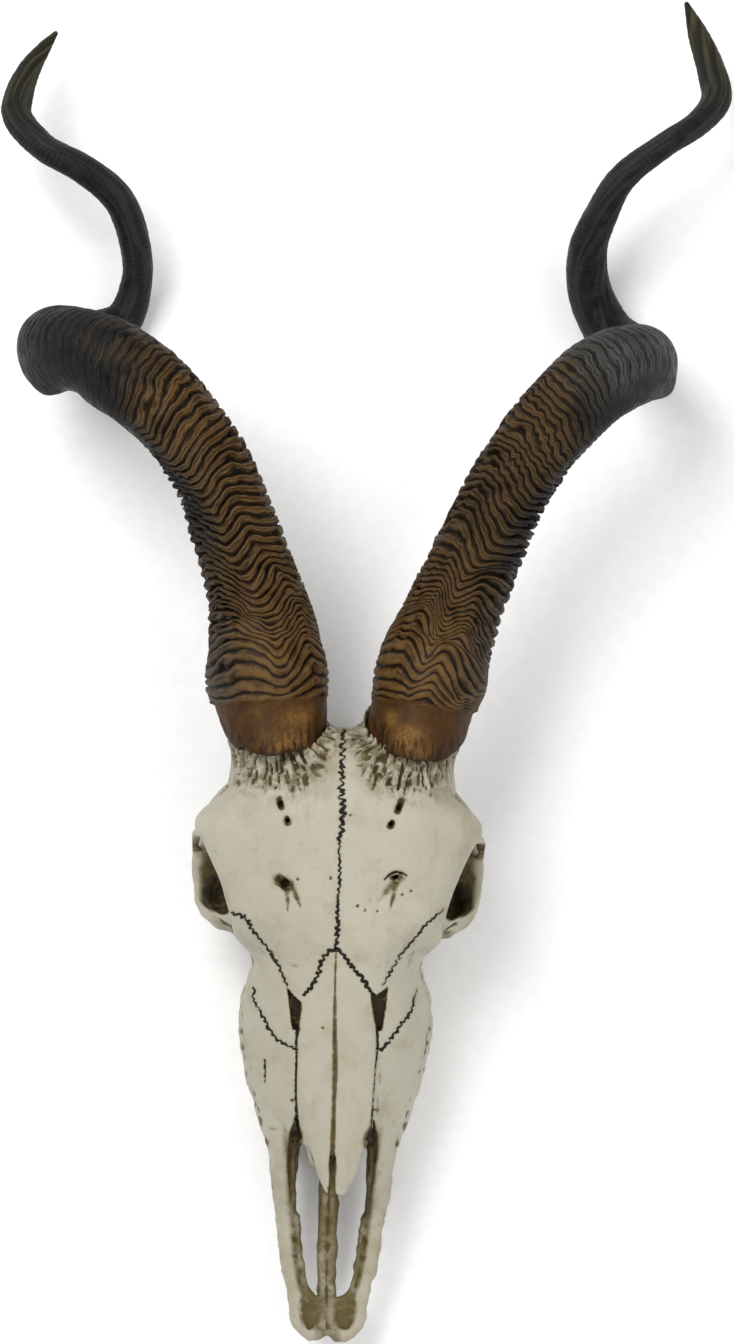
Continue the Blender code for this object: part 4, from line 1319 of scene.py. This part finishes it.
    dulled = DULLNESS[side] * ease(length, 70, 130) * (1 - ease(length, 205, 245))
    shoulder = ASHY_SHOULDER[side] * ease(length, 205, 245) * (1 - ease(length, 285, 310))
    upper = length + 12 * middle + 10 * wide + 0.12 * beyond_keel
    layers = {
        "groove": dark,
        "lean": 3 * middle,
        "split": split,
        "split_turn": split_turn,
        "band": 1 - ringed,
        "grey": dull_side,
        "along": length,
        "dull": dulled * (0.8 + 0.5 * wide + 0.4 * middle),
        "ashy": shoulder * (0.75 + 0.3 * wide + 0.3 * middle),
        "upper": ease(upper, CHARCOAL_FROM[side], CHARCOAL_FROM[side] + 44),
        "ring": rings,
        "grain": ease(length, 300, 350) * streaks(1.5, 16, 57),
        "outer": ease(side * np.cos(turn), 0.0, 0.9),
        # rim: painted shade along the lower edge of the sheath's rim
        "rim": np.exp(-length / 2.5),
        "glow": band_glow(side, length, turn) * (0.75 + 0.5 * middle),
        "flute": (1 - ringed) * (1 - ease(length + 3 * middle, 6, 15)),
    }
    layers = [(key, np.r_[value.ravel(), value[0, 0], value[-1, -1]]) for key, value in layers.items()]
    name = "horn_left" if side < 0 else "horn_right"
    faces = closed_faces(len(lengths), around)
    make_piece(name + "_sheath", points, faces, material, name, layers)


def closed_faces(rings, around):
    """Faces between rings of points, and out to a first and a last middle point that come after them."""
    index = np.arange(rings * around).reshape(rings, around)
    ahead = np.roll(index, -1, 1)
    faces = np.stack([index[:-1], ahead[:-1], ahead[1:], index[1:]], axis=2).reshape(-1, 4).tolist()
    for here, there in zip(index.T.tolist(), ahead.T.tolist()):
        faces.append((there[0], here[0], rings * around))
        faces.append((here[-1], there[-1], rings * around + 1))
    return faces


def build_tooth(side, place, material):
    """A high cheek tooth with ribs down its cheek side and a worn face of crescents."""
    name, front, length, breadth, centre_x, tip = place
    middle_y = front + length / 2
    premolar = name.startswith("premolar")
    around, up = TOOTH_GRID
    turns = np.linspace(0, 2 * math.pi, around, endpoint=False)
    cosine, sine = np.cos(turns), np.sin(turns)
    outer, inner = ease(cosine, 0.2, 0.7), ease(-cosine, 0.2, 0.7)

    def outline(grow):
        x = np.sign(cosine) * np.abs(cosine) ** TOOTH_SQUARENESS * breadth / 2 * grow
        y = np.sign(sine) * np.abs(sine) ** TOOTH_SQUARENESS * length / 2 * grow
        along = y / (length / 2 * grow)
        if premolar:
            ribs = 0.9 * bell(along / 0.22) + 0.8 * bell((np.abs(along) - 0.9) / 0.16)
            cleft = 0.0
        else:
            ribs = 0.7 * bell((np.abs(along) - 0.48) / 0.17)
            ribs += 1.0 * bell(along / 0.13) + 0.9 * bell((np.abs(along) - 0.95) / 0.14)
            cleft = 2.6 * bell(along / 0.16)
        x = x + outer * (ribs - 1.1) + inner * cleft - inner * 0.2 * ribs
        return x * side, y, 0.5 + 0.5 * np.cos(y / length * (2 if premolar else 4) * math.pi)

    rings, rises = [], []
    for rise in np.linspace(0, 1, up):
        x, y, cusps = outline(0.93 + 0.07 * math.sin(math.pi * min(1.0, 0.25 + rise)))
        z = np.full(around, tip + (1 - rise) * (TOOTH_HEIGHT - 0.5))
        if rise > 0.85:
            z = z + (rise - 0.85) / 0.15 * (0.2 + 1.3 * (1 - cusps))
        rings.append(np.stack([side * centre_x + x, middle_y + y, z], 1))
        rises.append(np.full(around, 1 - rise))
    for share in (0.93, 0.86, 0.78, 0.69, 0.6, 0.5, 0.4, 0.3, 0.2, 0.1):
        x, y, cusps = outline(0.965 * share)
        crescent = 0.9 * bell(np.abs(np.abs(x) / breadth - 0.16) / 0.05)
        valley = 1.5 * (1 - bell((share - 0.95) / 0.05)) - 1.3 * crescent * (0.4 + 0.6 * cusps)
        z = tip + 0.2 + 1.3 * (1 - cusps) + np.maximum(0, valley) * 0.9
        rings.append(np.stack([side * centre_x + x, middle_y + y, z], 1))
        rises.append(np.full(around, -0.2 - valley * 0.4))
    root = (side * centre_x, middle_y, tip + TOOTH_HEIGHT - 0.5)
    points = np.vstack([*rings, root, rings[-1].mean(axis=0)])
    layers = [("rise", np.r_[np.concatenate(rises), 1, -0.5])]
    label = name + ("_left" if side < 0 else "_right")
    faces = closed_faces(len(rings), around)
    faces = [face[1:] + face[:1] if side > 0 else face[:1] + face[:0:-1] for face in faces]
    make_piece(label + "_enamel", points, faces, material, label, layers)


class Value:
    """A number or colour that a material's nodes work out, for use like an ordinary one."""

    def __init__(self, shade, socket):
        self.shade = shade
        self.socket = socket

    def __add__(self, other):
        return self.shade.math("ADD", self, other)

    def __sub__(self, other):
        return self.shade.math("SUBTRACT", self, other)

    def __rsub__(self, other):
        return self.shade.math("SUBTRACT", other, self)

    def __mul__(self, other):
        return self.shade.math("MULTIPLY", self, other)

    def __pow__(self, other):
        return self.shade.math("POWER", self, other)

    def sine(self):
        return self.shade.math("SINE", self)

    def cosine(self):
        return self.shade.math("COSINE", self)

    def span(self, low, high, start=0.0, stop=1.0):
        """The value taken from low to high smoothly onto start to stop."""
        inputs = dict(enumerate((self, low, high, start, stop)))
        return self.shade.made("MapRange", inputs, interpolation_type="SMOOTHSTEP")


class Shade:
    """A material's nodes, made one at a time."""

    def __init__(self, name):
        self.material = bpy.data.materials.new(name)
        self.material.use_nodes = True
        self.tree = self.material.node_tree
        self.place = self.made("TexCoord", {}, "Object")

    def put(self, socket, value):
        if isinstance(value, Value):
            self.tree.links.new(value.socket, socket)
        elif isinstance(value, tuple) and len(socket.default_value) == 4:
            socket.default_value = (*value, 1)
        else:
            socket.default_value = value

    def made(self, kind, inputs, output=0, **settings):
        """What a new node works out from its inputs, which go by name or by number."""
        node = self.tree.nodes.new("ShaderNode" + kind)
        for name, setting in settings.items():
            setattr(node, name, setting)
        for name, value in inputs.items():
            self.put(node.inputs[name], value)
        return Value(self, node.outputs[output])

    def noise(self, size, detail=4, stretch=(1, 1, 1), warp=0.0):
        """Noise from 0 to 1 with features about this many millimetres."""
        place = self.made("Mapping", {"Vector": self.place, "Scale": stretch})
        inputs = {"Vector": place, "Scale": 1000 / size, "Detail": detail}
        return self.made("TexNoise", {**inputs, "Roughness": 0.55, "Distortion": warp}, "Fac")

    def cells(self, size, stretch):
        place = self.made("Mapping", {"Vector": self.place, "Scale": stretch})
        return self.made("TexVoronoi", {"Vector": place, "Scale": 1000 / size}, "Distance")

    def layer(self, name):
        return self.made("Attribute", {}, "Fac", attribute_name=name)

    def math(self, operation, first, second=0.0):
        return self.made("Math", {0: first, 1: second}, operation=operation)

    def mix(self, share, first, second):
        return self.made("Mix", {0: share, 6: first, 7: second}, 2, data_type="RGBA")

    def stained(self, colour, *stains):
        """The colour with stains laid over it: where each is, its colour and how strong it is."""
        for share, stain, most in stains:
            colour = self.mix(share * most, colour, stain)
        return colour

    def finish(self, colour, roughness, specular, *bumps):
        """The material, with bumps given by height and by depth in millimetres."""
        normal = {}
        for height, depth in bumps:
            normal = {"Normal": self.made("Bump", {"Distance": depth * MM, "Height": height, **normal})}
        inputs = {"Base Color": colour, "Roughness": roughness, "Specular IOR Level": specular, **normal}
        for name, value in inputs.items():
            self.put(self.tree.nodes["Principled BSDF"].inputs[name], value)
        return self.material


def bone_material():
    shade = Shade("old_bone")
    wide, middle, fine = shade.noise(70, 3), shade.noise(16, 5), shade.noise(3.5, 6)
    grainy = shade.noise(1.2, 4, (1, 0.3, 1))
    mottle = shade.noise(6, 5, warp=0.4)
    collar, inner = shade.layer("collar"), shade.layer("inner")
    hollow_shade = shade.layer("hollow_shade") + (middle - 0.5) * 0.35
    ticks = shade.noise(2.2, 3, (1, 0.13, 1)).span(0.54, 0.64) * (collar * mottle.span(0.4, 0.6))
    # Brown wash and painted shade in the creases; the deepest get near-black painted shade
    crevice_wash_and_shade = shade.layer("crevice_wash_and_shade") * fine.span(0.25, 0.6, 0.5, 1.2) * collar.span(0.0, 1.0, 1.0, 0.7)
    deep_crevice_shade = crevice_wash_and_shade.span(0.6, 1.5) * (1.0 - collar * 0.3) * inner.span(0.1, 0.5, 1.0, 0.3)
    dirt_and_hole_shade = shade.layer("dirt_and_hole_shade") * fine.span(0.2, 0.65, 0.35, 1.1)
    ragged_line = shade.layer("line") + (shade.noise(2.2, 4) - 0.5) * 3.4
    colour = shade.stained(
        shade.mix(wide.span(0.35, 0.65), (0.37, 0.345, 0.268), (0.41, 0.385, 0.308)),
        (middle.span(0.5, 0.72), (0.30, 0.268, 0.185), 0.45),
        (fine.span(0.58, 0.78), (0.24, 0.205, 0.135), 0.35),
        (shade.layer("muzzle") * middle.span(0.3, 0.6), (0.24, 0.205, 0.12), 0.28),
        # Painted shade in the hollows and eye sockets, olive brown, and near black where deepest
        (hollow_shade.span(0.1, 0.55), (0.13, 0.098, 0.036), 0.88),
        (hollow_shade.span(0.45, 0.85), (0.014, 0.009, 0.003), 0.95),
        # Painted shade and brown stain on the inner faces of the prongs
        (inner * middle.span(0.25, 0.6, 0.4, 1.0), (0.115, 0.083, 0.027), 0.85),
        # Painted shade on the faces that turn downwards
        (shade.layer("underside_shade") * middle.span(0.3, 0.7, 0.3, 1.0), (0.20, 0.16, 0.09), 0.5),
        (shade.noise(14, 5, (1, 0.22, 1)).span(0.55, 0.75), (0.255, 0.22, 0.14), 0.5),
        (collar * mottle.span(0.38, 0.62, 0.15, 1.0), (0.122, 0.090, 0.030), 0.8),
        (ticks, (0.030, 0.020, 0.008), 0.85),
        # More painted shade and stain in flecks on those inner faces
        (inner * fine.span(0.45, 0.68), (0.05, 0.034, 0.011), 0.55),
        # Brown wash and painted shade in the creases, then near-black painted shade in the deepest
        (crevice_wash_and_shade.span(0.12, 0.9), (0.080, 0.054, 0.014), 0.9),
        (deep_crevice_shade, (0.02, 0.014, 0.007), 0.9),
        # Stain along the sutures, and painted shade inside holes, gaps, grooves and pits
        (dirt_and_hole_shade.span(0.0, 1.0), (0.105, 0.075, 0.025), 0.9),
        (dirt_and_hole_shade.span(1.0, 2.0), (0.014, 0.009, 0.003), 0.95),
        (ragged_line.span(1.42, 0.95), (0.008, 0.005, 0.002), 0.98),
    )
    bumps = (grainy, 0.25), (fine, 0.35), (shade.cells(1.6, (1, 0.6, 1)), 0.12)
    return shade.finish(colour, middle.span(0.3, 0.7, 0.5, 0.72), 0.2, *bumps)


def ring_waves(shade):
    """From 0 on a ridge to 1 in the groove, worked out from the rings counted along the horn."""
    turn = shade.layer("ring") * (2 * math.pi)
    lean = (turn + shade.layer("lean")).sine() * 0.6
    first = (turn + lean).cosine() * 0.5 + 0.5
    second = (turn * 2.0 + shade.layer("split_turn")).cosine() * 0.5 + 0.5
    return shade.math("MAXIMUM", first, second**2.0 * shade.layer("split"))


def horn_material():
    shade = Shade("horn_sheath")
    wide, middle, fine = shade.noise(45, 3), shade.noise(9, 5), shade.noise(2.2, 5)
    along, grainy = shade.layer("along"), shade.layer("grain")
    waves = ring_waves(shade)
    # Painted highlight, light brown, on the crests of the ridges
    crest_highlight = waves.span(0.5, 0.05) * fine.span(0.35, 0.65, 0.35, 1.0)
    ridge = shade.stained(
        shade.mix(middle.span(0.35, 0.65), (0.040, 0.018, 0.005), (0.088, 0.045, 0.013)),
        (crest_highlight, (0.185, 0.108, 0.038), 0.55),
        (fine.span(0.5, 0.75), (0.018, 0.010, 0.004), 0.6),
    )
    ashen = shade.mix(middle.span(0.3, 0.7), (0.020, 0.014, 0.009), (0.052, 0.040, 0.028))
    # The same painted highlight on the crests of the greyer outer side
    ashen = shade.stained(ashen, (crest_highlight, (0.13, 0.10, 0.07), 0.35))
    charcoal = shade.mix(middle.span(0.3, 0.7), (0.005, 0.005, 0.005), (0.020, 0.020, 0.020))
    olive = shade.mix(grainy.span(-0.3, 0.4), (0.016, 0.015, 0.006), (0.066, 0.058, 0.024))
    groove = waves**2.7 * shade.layer("groove") + (fine - 0.5) * shade.layer("groove") * 0.7
    fine_lines = shade.layer("ring") * (FINE_LINES * 2 * math.pi) + shade.noise(5, 3) * 9.0
    patchy = along.span(45, 75) * along.span(290, 350, 1.0, 0.2) * middle.span(0.38, 0.6, 0.25, 1.0)
    fine_lines = fine_lines.sine().span(0.2, 0.95) * patchy
    lines = shade.noise(1.5, 4, (1, 0.45, 1))
    flute = shade.layer("flute") * shade.noise(2.3, 2, (1, 0.1, 1)).span(0.47, 0.6)
    band = shade.stained(
        shade.mix(lines.span(0.3, 0.75), (0.050, 0.020, 0.0045), (0.066, 0.028, 0.007)),
        (middle.span(0.5, 0.7), (0.125, 0.062, 0.019), 0.4),
        (shade.noise(11, 4).span(0.44, 0.6), (0.040, 0.018, 0.007), 0.75),
        (shade.layer("glow") * fine.span(0.32, 0.6, 0.45, 1.0), (0.36, 0.19, 0.052), 0.85),
        (flute, (0.014, 0.006, 0.002), 0.75),
    )
    colour = shade.stained(
        shade.mix(shade.layer("outer") * wide.span(0.3, 0.6, 0.3, 0.9), ridge, ashen),
        (shade.layer("upper"), charcoal, 1.0),
        (shade.layer("ashy"), (0.068, 0.068, 0.064), 0.9),
        (shade.layer("dull"), (0.010, 0.009, 0.008), 0.5),
        (shade.layer("grey"), (0.014, 0.014, 0.015), 0.75),
        # Painted shade, near black, in the ring grooves
        (groove.span(0.12, 0.72), (0.004, 0.003, 0.002), 0.92),
        (fine_lines, (0.006, 0.004, 0.002), 0.72),
        (grainy.span(0.05, 0.45), (0.036, 0.036, 0.034), 0.42),
        (along.span(520, 640), olive, 0.8),
        (shade.layer("band"), band, 1.0),
        # Painted shade along the lower edge of the sheath's rim
        (shade.layer("rim"), (0.02, 0.011, 0.005), 0.6),
    )
    bumps = (fine, 0.35), (lines, 0.3), (1.0 - fine_lines, 0.35), (1.0 - flute, 0.5)
    roughness = middle.span(0.3, 0.7, 0.36, 0.58)
    return shade.finish(colour, roughness, 0.09, *bumps, (shade.noise(0.9, 3), 0.12))


def tooth_material():
    shade = Shade("worn_tooth")
    middle, fine = shade.noise(6, 4), shade.noise(1.6, 5, (1, 1, 0.3))
    rise = shade.layer("rise")
    colour = shade.stained(
        shade.mix(middle.span(0.35, 0.65), (0.35, 0.31, 0.23), (0.43, 0.40, 0.32)),
        (fine.span(0.48, 0.7), (0.08, 0.055, 0.028), 0.7),
        (rise.span(0.35, 1.0), (0.15, 0.11, 0.06), 0.8),
        (rise.span(-0.25, -0.7), (0.04, 0.027, 0.014), 0.95),
    )
    return shade.finish(colour, middle.span(0.3, 0.7, 0.28, 0.5), 0.5, (fine, 0.25), (middle, 0.3))


def add_light(name, size, place, aim, power):
    light = bpy.data.lights.new(name, "AREA")
    light.shape = "RECTANGLE"
    light.size, light.size_y = size
    light.energy = power
    obj = bpy.data.objects.new(name, light)
    obj.location = place
    obj.rotation_euler = (Vector(aim) - Vector(place)).to_track_quat("-Z", "Y").to_euler()
    bpy.context.scene.collection.objects.link(obj)


def add_camera():
    camera = bpy.data.cameras.new("camera")
    obj = bpy.data.objects.new("camera", camera)
    bpy.context.scene.collection.objects.link(obj)
    up = Vector((-math.sin(CAMERA_ROLL), math.cos(CAMERA_ROLL), 0))
    back = Vector((0, 0, 1))
    right = up.cross(back)
    axes = Matrix((right, up, back)).transposed()
    eye = Vector(CAMERA_OVER) + back * CAMERA_HEIGHT
    turn = Matrix.Rotation(REST_TILT, 3, "X")
    obj.matrix_world = Matrix.Translation(TO_REST @ eye) @ (turn @ axes).to_4x4()
    camera.sensor_fit = "VERTICAL"
    camera.sensor_height = SENSOR_HEIGHT
    camera.lens = SENSOR_HEIGHT * CAMERA_HEIGHT / PIXEL_SIZE / IMAGE_HEIGHT
    camera.clip_end = 50
    bpy.context.scene.camera = obj


def add_floor():
    shade = Shade("pale_floor")
    fine = shade.noise(8, 3)
    colour = shade.mix(fine.span(0.3, 0.7), (0.93, 0.93, 0.93), (0.96, 0.96, 0.96))
    bpy.ops.mesh.primitive_plane_add(size=8, location=(0, 0, 0))
    floor = bpy.context.object
    floor.name = "floor"
    floor.data.materials.append(shade.finish(colour, 0.9, 0.5, (fine, 0.05)))


bone = bone_material()
horn = horn_material()
tooth = tooth_material()
build_skull(bone)
build_horn(-1, HORN_LEFT, horn)
build_horn(1, HORN_RIGHT, horn)
for side in SIDES:
    for place in tooth_places():
        build_tooth(side, place, tooth)

add_floor()
add_light("key", (1.6, 1.6), (-1.1, 0.9, 2.3), (0, 0, 0), 60)
add_light("fill", (2.4, 2.4), (1.7, -0.4, 2.0), (0, 0, 0), 30)
add_light("front", (1.8, 1.0), (0, -2.2, 1.2), (0, 0, 0.05), 14)
world = bpy.data.worlds.new("studio")
world.use_nodes = True
world.node_tree.nodes["Background"].inputs["Color"].default_value = (1, 1, 1, 1)
world.node_tree.nodes["Background"].inputs["Strength"].default_value = 0.4
bpy.context.scene.world = world
bpy.context.scene.view_settings.view_transform = "Standard"
add_camera()
